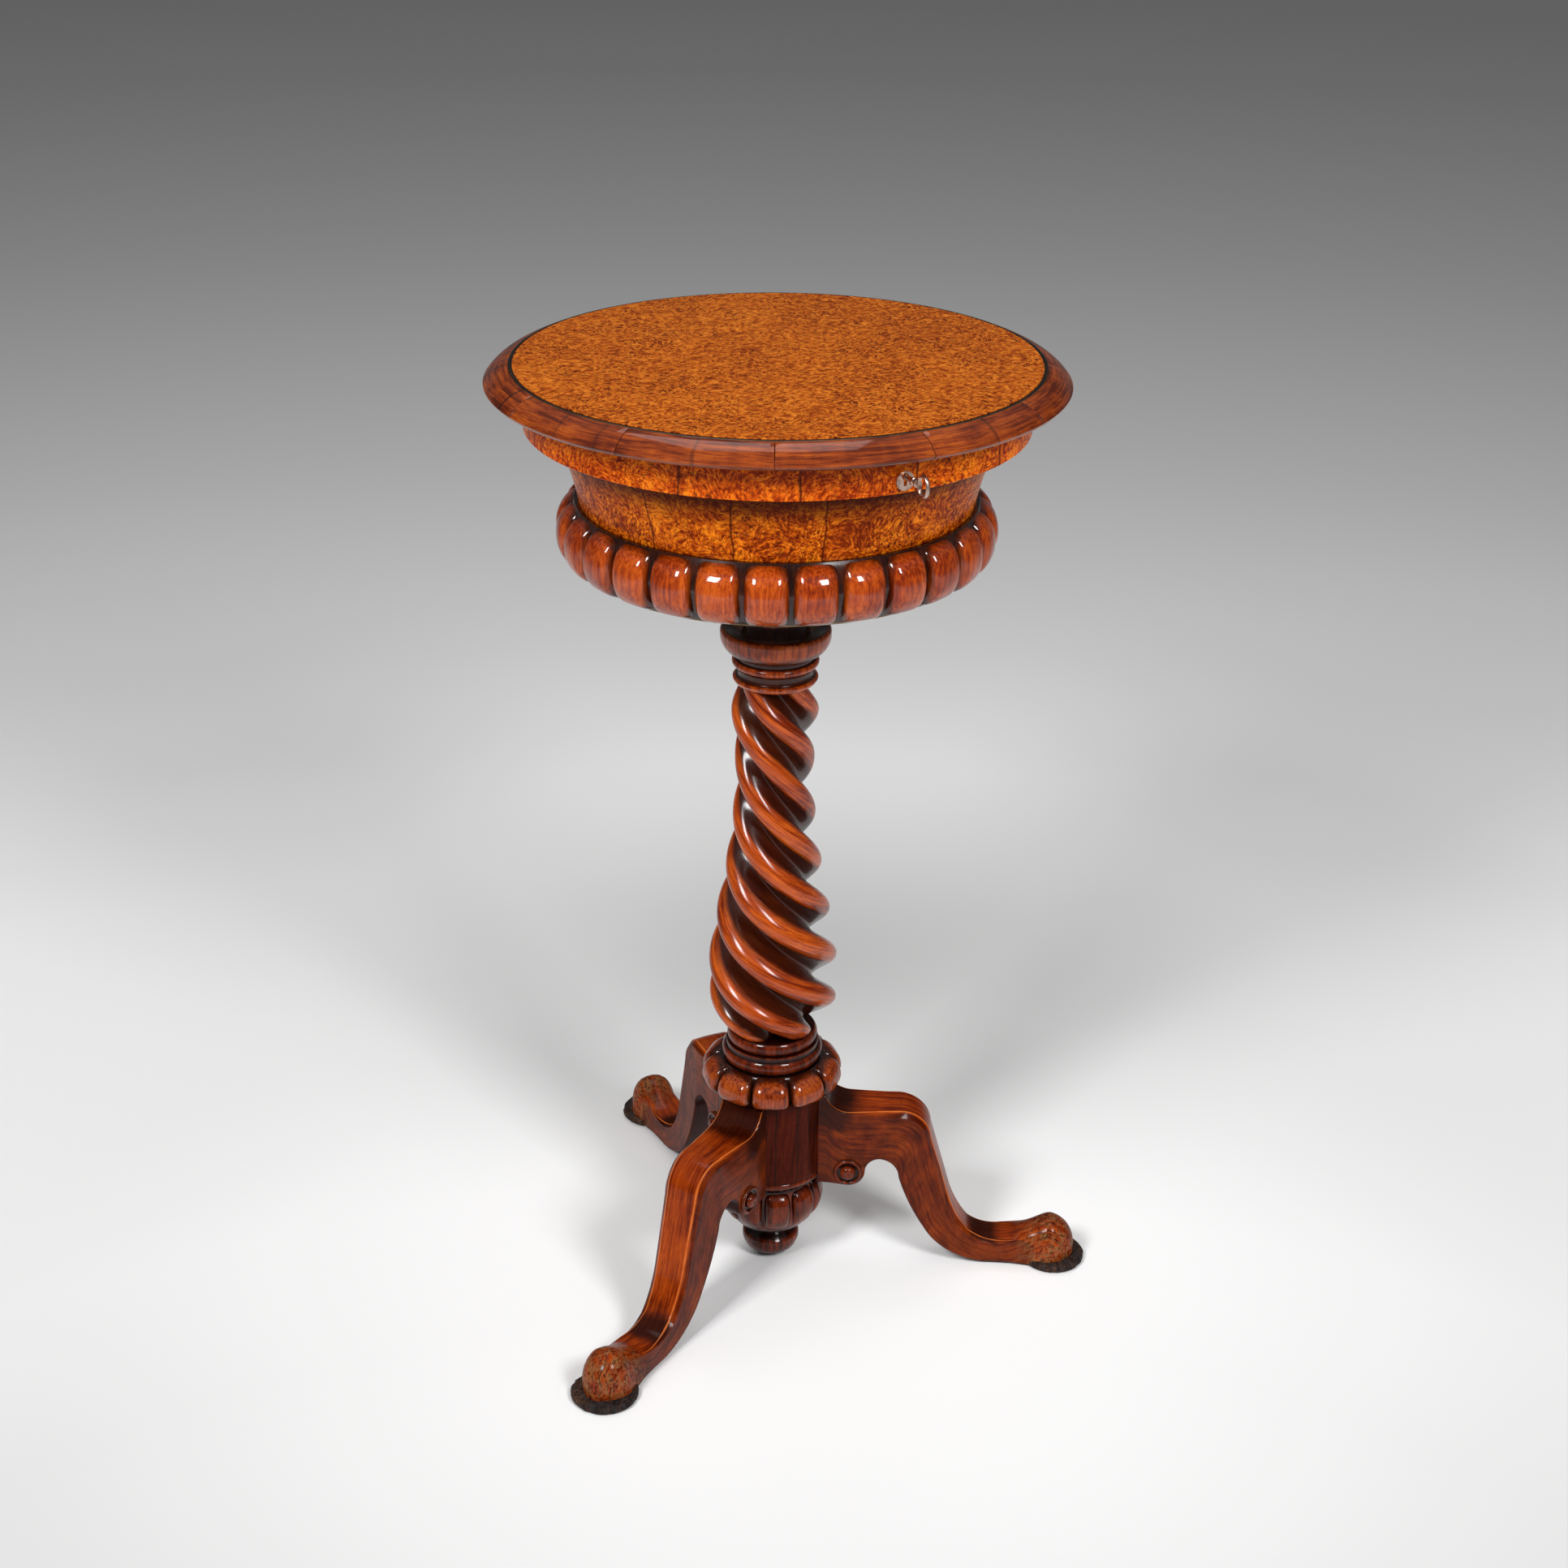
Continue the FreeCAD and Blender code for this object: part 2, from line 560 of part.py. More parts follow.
def lobed(name, core, lobe_out, lobe_mid, lobe_r, lobe_half, lobe_end, count, turn, bore):
    """A ring of upright barrel lobes round a turned core.

    One sector of core is made, its lobe is added and trimmed to the sector's two sides,
    the bore is cut, and the sector is then repeated all the way round.
    """
    body = new_body(name)
    pitch = 360 / count
    sector = revolve(body, outline(body, name + "_core", "XZ_Plane", core), angle=pitch.value)
    bind(sector, "Angle", pitch)
    sector.Midplane = True
    centre = lobe_out - lobe_r
    side = lobe_half * LOBE_SIDE
    low, high = lobe_mid - lobe_half, lobe_mid + lobe_half
    corner = (lobe_half - side) * LOBE_CORNER
    barrel = outline(body, name + "_lobe", "XZ_Plane", [
        (centre, low), *bowed((centre + lobe_end, low), (lobe_out, lobe_mid - side), corner, 2),
        (lobe_out, lobe_mid - side),
        *bowed((lobe_out, lobe_mid + side), (centre + lobe_end, high), corner, 2),
        (centre + lobe_end, high), (centre, high)],
        axis_at=(0, 7))
    revolve(body, barrel, "Axis0")
    far, wide = lobe_out + s.overrun, lobe_out * sine(pitch / 2) + lobe_r
    edge = far * sine(pitch / 2) / cosine(pitch / 2)
    past = s.overrun
    trim = outline(body, name + "_sides", "XY_Plane", [
        (0, 0), (far, edge), (far, wide), (-past, wide), (-past, -wide), (far, -wide),
        (far, -edge)])
    trimmed = body.newObject("PartDesign::Pocket", name + "_trim")
    trimmed.Profile = (trim, [""])
    trimmed.SideType = "Symmetric"
    bind(trimmed, "Length", (lobe_mid + lobe_half + s.overrun) * 2)
    drill = body.newObject("PartDesign::SubtractiveCylinder", name + "_bore")
    bind(drill, "Radius", bore)
    bind(drill, "Height", (lobe_half + s.overrun) * 4)
    bind(drill, "Placement.Base.z", lobe_mid - (lobe_half + s.overrun) * 2)
    doc.recompute()
    ring = body.newObject("PartDesign::PolarPattern", name + "_round")
    ring.TransformMode = "Whole shape"
    ring.Axis = (origin_plane(body, "Z_Axis"), [""])
    ring.Angle = 360
    bind(ring, "Occurrences", count)
    body.Tip = ring
    return place(body, turn=turn)


def pendant():
    """The drop under the hub: a ring, a lobed bulb and a knob, on a spigot."""
    mid = (s.drop_lobe_top + s.drop_lobe_bottom) / 2
    half = (s.drop_lobe_top - s.drop_lobe_bottom) / 2
    ring_half = (s.hub_bottom - s.drop_ring_bottom) / 2
    bore = s.spigot_r * PENDANT_BORE
    core = [
        (bore, s.knob_end),
        *bowed((s.knob_end_r, s.knob_end), (s.knob_low_r, s.knob_low), s.knob_bow, 2),
        (s.knob_low_r, s.knob_low), (s.knob_r, s.knob_top), (s.drop_neck_r, s.drop_neck_z),
        *bowed((s.drop_core_low, s.drop_collar_z), (s.drop_core_r, mid), s.drop_bow, 2),
        (s.drop_core_r, mid), (s.drop_core_top, s.drop_lobe_top), (s.drop_cove_r, s.drop_cove_z),
        *bowed((s.drop_ring_r - ring_half, s.drop_ring_bottom),
               (s.drop_ring_r - ring_half, s.hub_bottom), ring_half, 3),
        (s.drop_ring_r - ring_half, s.hub_bottom), (bore, s.hub_bottom)]
    body = lobed("pendant", core, s.drop_lobe_out, mid, s.drop_lobe_r, half, s.drop_lobe_end,
                 s.drop_lobes, s.drop_turn, bore)
    top = s.hub_bottom + s.spigot_length
    rod = outline(body, "pendant_rod", "XZ_Plane", [
        (0, s.knob_end), (s.spigot_r, s.knob_end), (s.spigot_r, top), (0, top)])
    revolve(body, rod)
    return body


def gadroon_collar():
    bore = s.tenon_r + s.seat
    core = [
        (bore, s.hub_top), (s.collar_core_end, s.hub_top), (s.collar_core_r, s.collar_mid),
        (s.collar_core_end, s.collar_top), (bore, s.collar_top)]
    return lobed("gadroon_collar", core, s.collar_out, s.collar_mid, s.collar_lobe_r,
                 s.collar_lobe_half, s.collar_lobe_end, s.collar_lobes, s.collar_turn, bore)


def gadroon_ring():
    bore = s.waist_low_r + s.seat
    core = [
        (bore, s.gadroon_bottom), (s.gadroon_core_low_r, s.gadroon_bottom),
        (s.gadroon_core_r, s.gadroon_mid), (s.gadroon_core_top_r, s.gadroon_top),
        (bore, s.gadroon_top)]
    return lobed("gadroon_ring", core, s.gadroon_out, s.gadroon_mid, s.gadroon_lobe_r,
                 s.gadroon_lobe_half, s.gadroon_lobe_end, s.gadroon_lobes, s.gadroon_turn, bore)


# Column: turned mouldings at both ends of a shaft twisted in four strands

def crest_radius(height):
    """Radius over the strands: full at the belly, drawn in at the waist and the ends."""
    marks = [(s.shaft_bottom.value - s.twist_bury.value, s.crest_foot.value),
             (s.belly_z.value, s.crest_belly.value), (s.waist_z.value, s.crest_waist.value),
             (s.swell_z.value, s.crest_swell.value),
             (s.shaft_top.value + s.twist_bury.value, s.crest_neck.value)]
    for (low, low_r), (high, high_r) in zip(marks, marks[1:]):
        if height <= high + s.seat.value:
            share = min(max((height - low) / (high - low), 0), 1)
            if low_r < high_r and low == marks[0][0]:
                ease = math.sin(share * math.pi / 2) ** FOOT_FLARE
            else:
                if low == s.belly_z.value:
                    share **= BELLY_EASE
                ease = (1 - math.cos(share * math.pi)) / 2
            return low_r + (high_r - low_r) * ease
    return marks[-1][1]


def strand_lift(across):
    """How far a strand stands out at this share of its half width, from 1 down to 0.

    Its back is part of an oval, which runs on smoothly into a hollow curve.
    """
    across = abs(across)
    if across <= ROPE_TURN:
        return math.sqrt(1 - (across / ROPE_HALF) ** 2)
    edge = math.sqrt(1 - (ROPE_TURN / ROPE_HALF) ** 2)
    slope = ROPE_TURN / ROPE_HALF ** 2 / edge
    return edge * ((1 - across) / (1 - ROPE_TURN)) ** (slope * (1 - ROPE_TURN) / edge)


def twisted_shaft():
    """One strand's surface, carried round to close the shaft.

    A strand runs from one hollow to the next, and with height the whole section turns
    by one lead. The hand is left.
    """
    low = s.shaft_bottom.value - s.twist_bury.value
    high = s.shaft_top.value + s.twist_bury.value
    strands = int(s.strands.value)
    step = 2 * math.pi / strands
    grid = []
    for row in range(TWIST_ROWS + 1):
        height = low + (high - low) * row / TWIST_ROWS
        crest = crest_radius(height)
        hollow = crest * s.hollow_share.value
        turn = -2 * math.pi * (height - low) / s.lead.value + math.radians(s.twist_turn.value)
        line = []
        for point in range(STRAND_POINTS + 1):
            across = 2 * point / STRAND_POINTS - 1
            radius = hollow + (crest - hollow) * strand_lift(across)
            angle = turn + across * step / 2
            line.append(FreeCAD.Vector(radius * math.cos(angle), radius * math.sin(angle), height))
        grid.append(line)
    surface = Part.BSplineSurface()
    surface.interpolate(grid)
    strand = surface.toShape()
    axis = FreeCAD.Vector(0, 0, 1)
    sides = [strand.copy() for _ in range(strands)]
    for number, side in enumerate(sides):
        side.rotate(FreeCAD.Vector(), axis, 360 / strands * number)
    ends = []
    for height in (low, high):
        rim = [edge for side in sides for edge in side.Edges
               if abs(edge.BoundBox.ZMin - height) < s.seat.value
               and abs(edge.BoundBox.ZMax - height) < s.seat.value]
        ends.append(Part.Face(Part.Wire(Part.__sortEdges__(rim))))
    shell = Part.makeShell(sides + ends)
    shell.sewShape()
    solid = Part.makeSolid(shell)
    if solid.Volume < 0:
        solid.reverse()
    shaft = doc.addObject("Part::Feature", "twisted_shaft")
    shaft.Shape = solid
    return place(shaft)


def pillar():
    bead_half = (s.cap_bead_top - s.cap_cove_top) / 2
    torus_in, ring_in = s.foot_torus_in, s.foot_ring_in
    foot = turned("pillar_foot", [
        (0, s.tenon_bottom), (s.tenon_r, s.tenon_bottom), (s.tenon_r, s.collar_top),
        *bowed((torus_in, s.collar_top), (torus_in, s.foot_torus_top),
               s.foot_torus_r - torus_in, 3),
        (torus_in, s.foot_torus_top), (s.foot_bead_r, s.foot_torus_top),
        (s.foot_bead_r, s.foot_bead_top),
        *bowed((ring_in, s.foot_bead_top), (ring_in, s.shaft_bottom), s.foot_ring_r - ring_in, 3),
        (ring_in, s.shaft_bottom), (0, s.shaft_bottom)])
    bead_in = s.cap_bead_r - bead_half
    head = turned("pillar_head", [
        (0, s.shaft_top), (s.cap_ring_low_r, s.shaft_top), (s.cap_ring_r, s.cap_ring_z),
        *bowed((s.cap_cove_r, s.cap_ring_top), (bead_in, s.cap_cove_top), -s.cap_cove_depth, 3),
        *bowed((bead_in, s.cap_cove_top), (bead_in, s.cap_bead_top), bead_half, 3),
        (bead_in, s.cap_bead_top), (s.cap_neck_r, s.cap_bead_top),
        *bowed((s.cap_neck_r, s.cap_neck_top), (s.cup_r, s.cup_z), s.cup_bow, 3),
        (s.cup_r, s.cup_z), (s.cup_lip_r, s.cup_top), (s.cup_floor_r, s.cup_floor),
        *bowed((s.top_neck_r, s.top_neck_z), (s.head_r, s.bearer_bottom), -s.top_neck_bow, 3),
        (s.head_r, s.bearer_bottom), (s.top_tenon_r, s.bearer_bottom),
        (s.top_tenon_r, s.bearer_top), (0, s.bearer_top)])
    return joined("pillar", [foot, head, twisted_shaft()])


# Screws: a countersunk head on a plain shank, made again a little fuller as its hole

def screw(name, head_r, head, shank_r, length, spread=None):
    """Head down at the origin, shank pointing up; spread widens it into a hole tool."""
    extra = spread if spread is not None else 0
    low = -s.overrun if spread is not None else 0
    points = [(0, low), (head_r + extra, low)]
    if spread is not None:
        points.append((head_r + extra, 0))
    points += [(shank_r + extra, head), (shank_r + extra, length + extra), (0, length + extra)]
    return turned(name, points)


def screw_set(name, places, head_r, head, shank_r, length, downwards=False):
    """The screws as one node, and the tool that drills and countersinks their holes."""
    made, tools = [], []
    for number, (x, y, z) in enumerate(places, start=1):
        for bucket, kind, spread in ((made, "screw", None), (tools, "hole", s.thread_gap)):
            piece = screw(f"{name}_{kind}_{number}", head_r, head, shank_r, length, spread)
            if downwards:
                place(piece, x, y, z, 180, (1, 0, 0))
            else:
                place(piece, x, y, z)
            bucket.append(piece)
    return group(name, made), group(name + "_holes", tools)


# Box: bottom board, bearer, waist, shoulder and frieze

def box_base():
    ring = s.bearer_screw_ring
    places = [(ring * cosine(azimuth), ring * sine(azimuth), s.bearer_bottom + s.bearer_lip)
              for azimuth in (45, 135, 225, 315)]
    screws, holes = screw_set("bearer_screws", places, s.bearer_head_r, s.bearer_head,
                              s.bearer_screw_r, s.bearer_screw)
    lip = s.bearer_bottom + s.bearer_lip
    blank = turned("bearer_blank", [
        (s.top_tenon_r + s.seat, s.bearer_bottom), (s.head_r, s.bearer_bottom),
        (s.head_r, lip), *bowed((s.bearer_lip_r, lip), (s.bearer_r, s.bearer_top - s.bearer_lip),
                                s.bearer_bow, 3),
        (s.bearer_r, s.bearer_top - s.bearer_lip), (s.bearer_r, s.bearer_top),
        (s.top_tenon_r + s.seat, s.bearer_top)])
    floor = turned("box_floor_blank", [
        (0, s.bearer_top), (s.well_r - s.seat, s.bearer_top),
        (s.well_r - s.seat, s.box_floor_top), (0, s.box_floor_top)])
    return [screws, cut("bearer", blank, holes), cut("box_floor", floor, holes)]


def waist():
    """The carcass wall that flares up from the gadroons, and its veneer skin."""
    low_in, high_in = s.waist_skin_low - s.skin, s.waist_skin_high - s.skin
    foot, top, hollow = s.gadroon_top, s.frieze_bottom, s.waist_hollow
    carcass = turned("waist_carcass", [
        (s.well_r, s.bearer_top), (s.waist_low_r, s.bearer_top), (s.waist_low_r, foot),
        *bowed((low_in, foot), (high_in, top), -hollow, 3), (high_in, top), (s.well_r, top)])
    skin = turned("waist_veneer", [
        (low_in, foot), *bowed((s.waist_skin_low, foot), (s.waist_skin_high, top), -hollow, 3),
        (s.waist_skin_high, top), *bowed((high_in, top), (low_in, foot), hollow, 3)])
    return [carcass, skin]


def shoulder():
    top = s.frieze_bottom + s.shoulder_thick
    return turned("shoulder_board", [
        (s.well_r, s.frieze_bottom), (s.frieze_in - s.seat, s.frieze_bottom),
        (s.frieze_in - s.seat, top), (s.well_r, top)])


def hinge_places():
    """Low x of each hinge, left and right of the middle."""
    return {"left": -(s.hinge_x + s.hinge_length), "right": s.hinge_x}


def leaf_recess(name, low_z, high_z, spread):
    """Sinkings for the two leaves, from the inner edge to past the outer one."""
    tools = []
    for side, x in hinge_places().items():
        tools.append(block(f"{name}_{side}", x - spread, s.leaf_in - spread, low_z,
                           s.hinge_length + 2 * spread, s.hinge_y - s.leaf_in + s.overrun,
                           high_z - low_z))
    return tools


def leaf_screw_places(height):
    return [(x + s.hinge_length / 2 + s.hinge_screw_x * way, s.hinge_screw_y, height)
            for x in hinge_places().values() for way in (-1, 1)]


def frieze(box_screw_holes, lock_screw_holes):
    """The upright band of the box and its veneer, sunk for hinges, lock and key."""
    inner_skin = s.frieze_r - s.frieze_skin
    blank = turned("frieze_blank", [
        (s.frieze_in, s.frieze_bottom), (inner_skin, s.frieze_bottom),
        (inner_skin, s.box_top), (s.frieze_in, s.box_top)])
    leaf_floor = s.box_top - s.leaf_thick - s.seat
    mortise_low = s.lock_bottom - s.seat
    tools = leaf_recess("frieze_leaf_sinking", leaf_floor, s.box_top + s.overrun, s.seat)
    tools += [
        block("lock_mortise", -s.lock_x - s.seat, -s.lock_out - s.seat, mortise_low,
              2 * (s.lock_x + s.seat), s.lock_out - s.lock_in + 2 * s.seat,
              s.box_top + s.overrun - mortise_low),
        block("lock_plate_sinking", -s.plate_x - s.seat, -s.plate_out - s.seat,
              s.box_top - s.plate_thick - s.seat, 2 * (s.plate_x + s.seat),
              s.plate_out - s.plate_in + 2 * s.seat, s.plate_thick + s.seat + s.overrun),
        cylinder("frieze_keyhole", s.keyhole_r, s.frieze_r - s.lock_out + s.overrun,
                 0, -s.frieze_r - s.overrun, s.key_z, "y"),
        block("frieze_key_slot", -s.keyhole_wide / 2, -s.frieze_r - s.overrun,
              s.key_z - s.keyhole_drop, s.keyhole_wide, s.frieze_r - s.lock_out + s.overrun,
              s.keyhole_drop)]
    carcass = cut("frieze_carcass_open", blank, joined("frieze_sinkings", tools))
    carcass = cut("frieze_carcass", carcass, group("frieze_holes",
                                                   [box_screw_holes, lock_screw_holes]))
    skin = turned("frieze_skin_blank", [
        (inner_skin + s.seat, s.frieze_bottom), (s.frieze_r, s.frieze_bottom),
        (s.frieze_r, s.box_top - s.seat), (inner_skin + s.seat, s.box_top - s.seat)])
    plate_seat = cylinder("plate_sinking", s.plate_r + s.seat, s.overrun * 2,
                          0, -s.frieze_r - s.overrun, s.key_z - s.plate_drop, "y")
    skin_tools = leaf_recess("frieze_skin_sinking", leaf_floor, s.box_top + s.overrun, s.seat)
    skin = cut("frieze_veneer", skin, joined("frieze_skin_sinkings", skin_tools + [plate_seat]))
    return [carcass, skin]


# Lid: board, veneer, stringing and a rim of twelve crossbanded segments

def lid(lid_screw_holes, link_screw_holes):
    board_r = s.string_r - s.seat
    veneer_low = s.lid_top - s.lid_skin
    blank = turned("lid_blank", [
        (0, s.lid_bottom), (board_r, s.lid_bottom), (board_r, veneer_low), (0, veneer_low)])
    room = s.knuckle_room
    knuckle_tools = []
    for side, x in hinge_places().items():
        knuckle_tools.append(cylinder(f"knuckle_room_{side}", s.knuckle_r + room,
                                      s.hinge_length + 2 * room, x - room, s.hinge_y,
                                      hinge_height(), "x"))
    leaf_top = s.lid_bottom + s.leaf_thick + s.seat
    tools = leaf_recess("lid_leaf_sinking", s.lid_bottom - s.overrun, leaf_top, s.seat)
    link_low, link_high = -lock_mid() - s.link_half_y, -lock_mid() + s.link_half_y
    tools.append(block("link_plate_sinking", -s.link_x - s.seat, link_low - s.seat,
                       s.lid_bottom - s.overrun, 2 * (s.link_x + s.seat),
                       link_high - link_low + 2 * s.seat, s.link_thick + s.overrun + s.seat))
    knuckles = joined("knuckle_rooms", knuckle_tools)
    board = cut("lid_board_sunk", blank, joined("lid_sinkings", tools + [knuckles]))
    board = cut("lid_board", board, group("lid_holes", [lid_screw_holes, link_screw_holes]))
    veneer = turned("lid_veneer", [
        (0, veneer_low), (s.veneer_r, veneer_low), (s.veneer_r, s.lid_top), (0, s.lid_top)])
    string_top = s.lid_top - s.string_drop / 2
    string = turned("lid_stringing", [
        (s.veneer_r + s.seat, veneer_low), (s.string_r, veneer_low),
        (s.string_r, string_top), (s.veneer_r + s.seat, string_top)])
    return [board, veneer, string, lid_rim(knuckles)]


def lid_rim(knuckles):
    """A cushion-shaped ring, parted by thin radial saw cuts and housed for the knuckles."""
    ring = turned("lid_rim_ring", [
        (s.string_r + s.seat, s.lid_bottom), (s.rim_under_r, s.lid_bottom),
        *bowed((s.rim_r, s.rim_widest), (s.string_r + s.seat, s.rim_shoulder), s.rim_bow, 3),
        (s.string_r + s.seat, s.rim_shoulder)])
    blades = []
    for number in range(int(s.rim_segments.value)):
        blade = block(f"rim_saw_{number}", 0, 0, s.lid_bottom - s.overrun,
                      s.rim_r + s.overrun, s.rim_joint, s.lid_top - s.lid_bottom + 2 * s.overrun)
        blade.Placement.Rotation = FreeCAD.Rotation(
            FreeCAD.Vector(0, 0, 1), s.rim_turn.value + 360 / s.rim_segments.value * number)
        blades.append(blade)
    return cut("lid_rim", cut("lid_rim_parted", ring, group("rim_saws", blades)), knuckles)


# Butt hinges: two leaves each, three knuckles and a loose pin

def hinge_height():
    return (s.box_top + s.lid_bottom) / 2


def hinges():
    made, pins = [], []
    pieces = {"box": (s.box_top - s.leaf_thick, (0, 1)), "lid": (s.lid_bottom, (0.5,))}
    box_screws, box_holes = screw_set("hinge_box_screws", leaf_screw_places(s.box_top),
                                      s.screw_head_r, s.screw_head, s.screw_r,
                                      s.screw_length, downwards=True)
    lid_screws, lid_holes = screw_set("hinge_lid_screws", leaf_screw_places(s.lid_bottom),
                                      s.screw_head_r, s.screw_head, s.screw_r, s.screw_length)
    for side, x in hinge_places().items():
        knuckle = s.hinge_length * s.knuckle_share
        spans = {"box": [(x, knuckle), (x + s.hinge_length - knuckle, knuckle)],
                 "lid": [(x + knuckle, s.hinge_length - 2 * knuckle)]}
        for part, (low_z, _) in pieces.items():
            leaf = block(f"hinge_{part}_plate_{side}", x, s.leaf_in, low_z, s.hinge_length,
                         s.hinge_y - s.leaf_in - s.knuckle_r - s.knuckle_room, s.leaf_thick)
            solids = [leaf]
            for number, (start, length) in enumerate(spans[part]):
                gap = s.knuckle_end_gap
                begin, run = start + gap, length - 2 * gap
                solids.append(block(f"hinge_{part}_{side}_root_{number}", begin,
                                    s.hinge_y - s.knuckle_r - s.knuckle_room - s.seat, low_z,
                                    run, s.knuckle_r + s.knuckle_room + s.seat, s.leaf_thick))
                solids.append(cylinder(f"hinge_{part}_{side}_knuckle_{number}", s.knuckle_r, run,
                                       begin, s.hinge_y, hinge_height(), "x"))
            solid = joined(f"hinge_{part}_{side}_solid", solids)
            bore = cylinder(f"hinge_{part}_{side}_bore", s.pin_r + s.turning_gap,
                            s.hinge_length + 2 * s.overrun, x - s.overrun, s.hinge_y,
                            hinge_height(), "x")
            drilled = cut(f"hinge_{part}_{side}_drilled", solid, bore)
            holes = box_holes if part == "box" else lid_holes
            made.append(cut(f"hinge_{part}_leaf_{side}", drilled, holes))
        pins.append(cylinder(f"hinge_pin_{side}", s.pin_r, s.hinge_length, x, s.hinge_y,
                             hinge_height(), "x"))
    return made + [group("hinge_pins", pins), box_screws, lid_screws], box_holes, lid_holes


# Lock: case, plate, bolt, link plate with its staple, escutcheon and key

def lock_mid():
    return (s.lock_out + s.lock_in) / 2


def lock():
    places = [(s.lock_screw_x * way, -lock_mid(), s.box_top) for way in (-1, 1)]
    screws, holes = screw_set("lock_screws", places, s.screw_head_r * 0.9, s.screw_head,
                              s.screw_r, s.screw_length, downwards=True)
    room = s.lock_wall
    case_top = s.box_top - s.plate_thick
    shell = block("lock_case_shell", -s.lock_x, -s.lock_out, s.lock_bottom, 2 * s.lock_x,
                  s.lock_out - s.lock_in, case_top - s.lock_bottom)
    inside_tall = case_top - s.lock_bottom - room + s.overrun
    inside = block("lock_case_inside", -s.lock_x + room, -s.lock_out + room,
                   s.lock_bottom + room, 2 * (s.lock_x - room),
                   s.lock_out - s.lock_in - 2 * room, inside_tall)
    keyhole = cylinder("lock_keyhole", s.keyhole_r, room * 3, 0, -s.lock_out - room, s.key_z, "y")
    slot = block("lock_key_slot", -s.keyhole_wide / 2, -s.lock_out - room,
                 s.key_z - s.keyhole_drop, s.keyhole_wide, room * 3, s.keyhole_drop)
    hollow = cut("lock_case_hollow", shell, joined("lock_case_tools", [inside, keyhole, slot]))
    guides = []
    for name, start, end in (("left", -s.lock_x + room, -s.guide_x),
                             ("right", s.staple_x + s.staple_wide + s.slot_room, s.lock_x - room)):
        guides.append(block(f"bolt_guide_{name}", start, -s.lock_out + room,
                            s.lock_bottom + room, end - start,
                            s.lock_out - s.lock_in - 2 * room,
                            s.bolt_low - s.slide_room - s.lock_bottom - room))
    case = joined("lock_case", [hollow, *guides])
    plate = block("lock_plate_blank", -s.plate_x, -s.plate_out, case_top, 2 * s.plate_x,
                  s.plate_out - s.plate_in, s.plate_thick)
    staple_slot = block("staple_slot", s.staple_x - s.slot_room,
                        -lock_mid() - s.staple_y / 2 - s.slot_room, case_top - s.overrun,
                        s.staple_wide + 2 * s.slot_room, s.staple_y + 2 * s.slot_room,
                        s.plate_thick + 2 * s.overrun)
    plate = cut("lock_plate_slotted", plate, staple_slot)
    plate = cut("lock_plate", plate, holes)
    return [case, plate, screws], holes


def bolt():
    """A square bar that slides along the frieze, with a thin tongue for the staple."""
    tall, half = s.bolt_high - s.bolt_low, (s.lock_out - s.lock_in) / 2 - s.lock_wall - s.slide_room
    bar = block("bolt_bar", s.bolt_start, -lock_mid() - half, s.bolt_low,
                s.bolt_body - s.bolt_start, 2 * half, tall)
    tongue = block("bolt_tongue_bar", s.bolt_body - s.seat, -lock_mid() - s.bolt_tongue / 2,
                   s.bolt_low, s.bolt_tip - s.bolt_body + s.seat, s.bolt_tongue, tall)
    return joined("lock_bolt", [bar, tongue])


def link_plate():
    places = [(s.link_screw_x * way, -lock_mid(), s.lid_bottom) for way in (-1, 1)]
    screws, holes = screw_set("link_screws", places, s.screw_head_r, s.screw_head,
                              s.screw_r, s.screw_length * 0.9)
    flat = block("link_flat", -s.link_x, -lock_mid() - s.link_half_y, s.lid_bottom,
                 2 * s.link_x, 2 * s.link_half_y, s.link_thick)
    staple = block("link_staple", s.staple_x, -lock_mid() - s.staple_y / 2,
                   s.lid_bottom - s.staple_drop, s.staple_wide, s.staple_y,
                   s.staple_drop + s.link_thick)
    room = s.slot_room / 2
    eye = block("link_eye", s.staple_x - s.overrun / 2, -lock_mid() - s.bolt_tongue / 2 - room,
                s.bolt_low - room, s.staple_wide + s.overrun, s.bolt_tongue + 2 * room,
                s.bolt_high - s.bolt_low + 2 * room)
    plate = cut("link_plate_open", joined("link_solid", [flat, staple]), eye)
    return [cut("link_plate", plate, holes), screws], holes


def escutcheon():
    """Round plate let into the frieze veneer, pierced for the key."""
    back = s.frieze_r - s.frieze_skin + s.seat
    face = s.frieze_r + s.plate_proud
    disc = cylinder("escutcheon_disc", s.plate_r, face - back, 0, -face,
                    s.key_z - s.plate_drop, "y")
    hole = cylinder("escutcheon_hole", s.keyhole_r, s.overrun * 2, 0, -face - s.overrun,
                    s.key_z, "y")
    slot = block("escutcheon_slot", -s.keyhole_wide / 2, -face - s.overrun,
                 s.key_z - s.keyhole_drop, s.keyhole_wide, s.overrun * 2, s.keyhole_drop)
    return cut("escutcheon", disc, joined("escutcheon_keyhole", [hole, slot]))


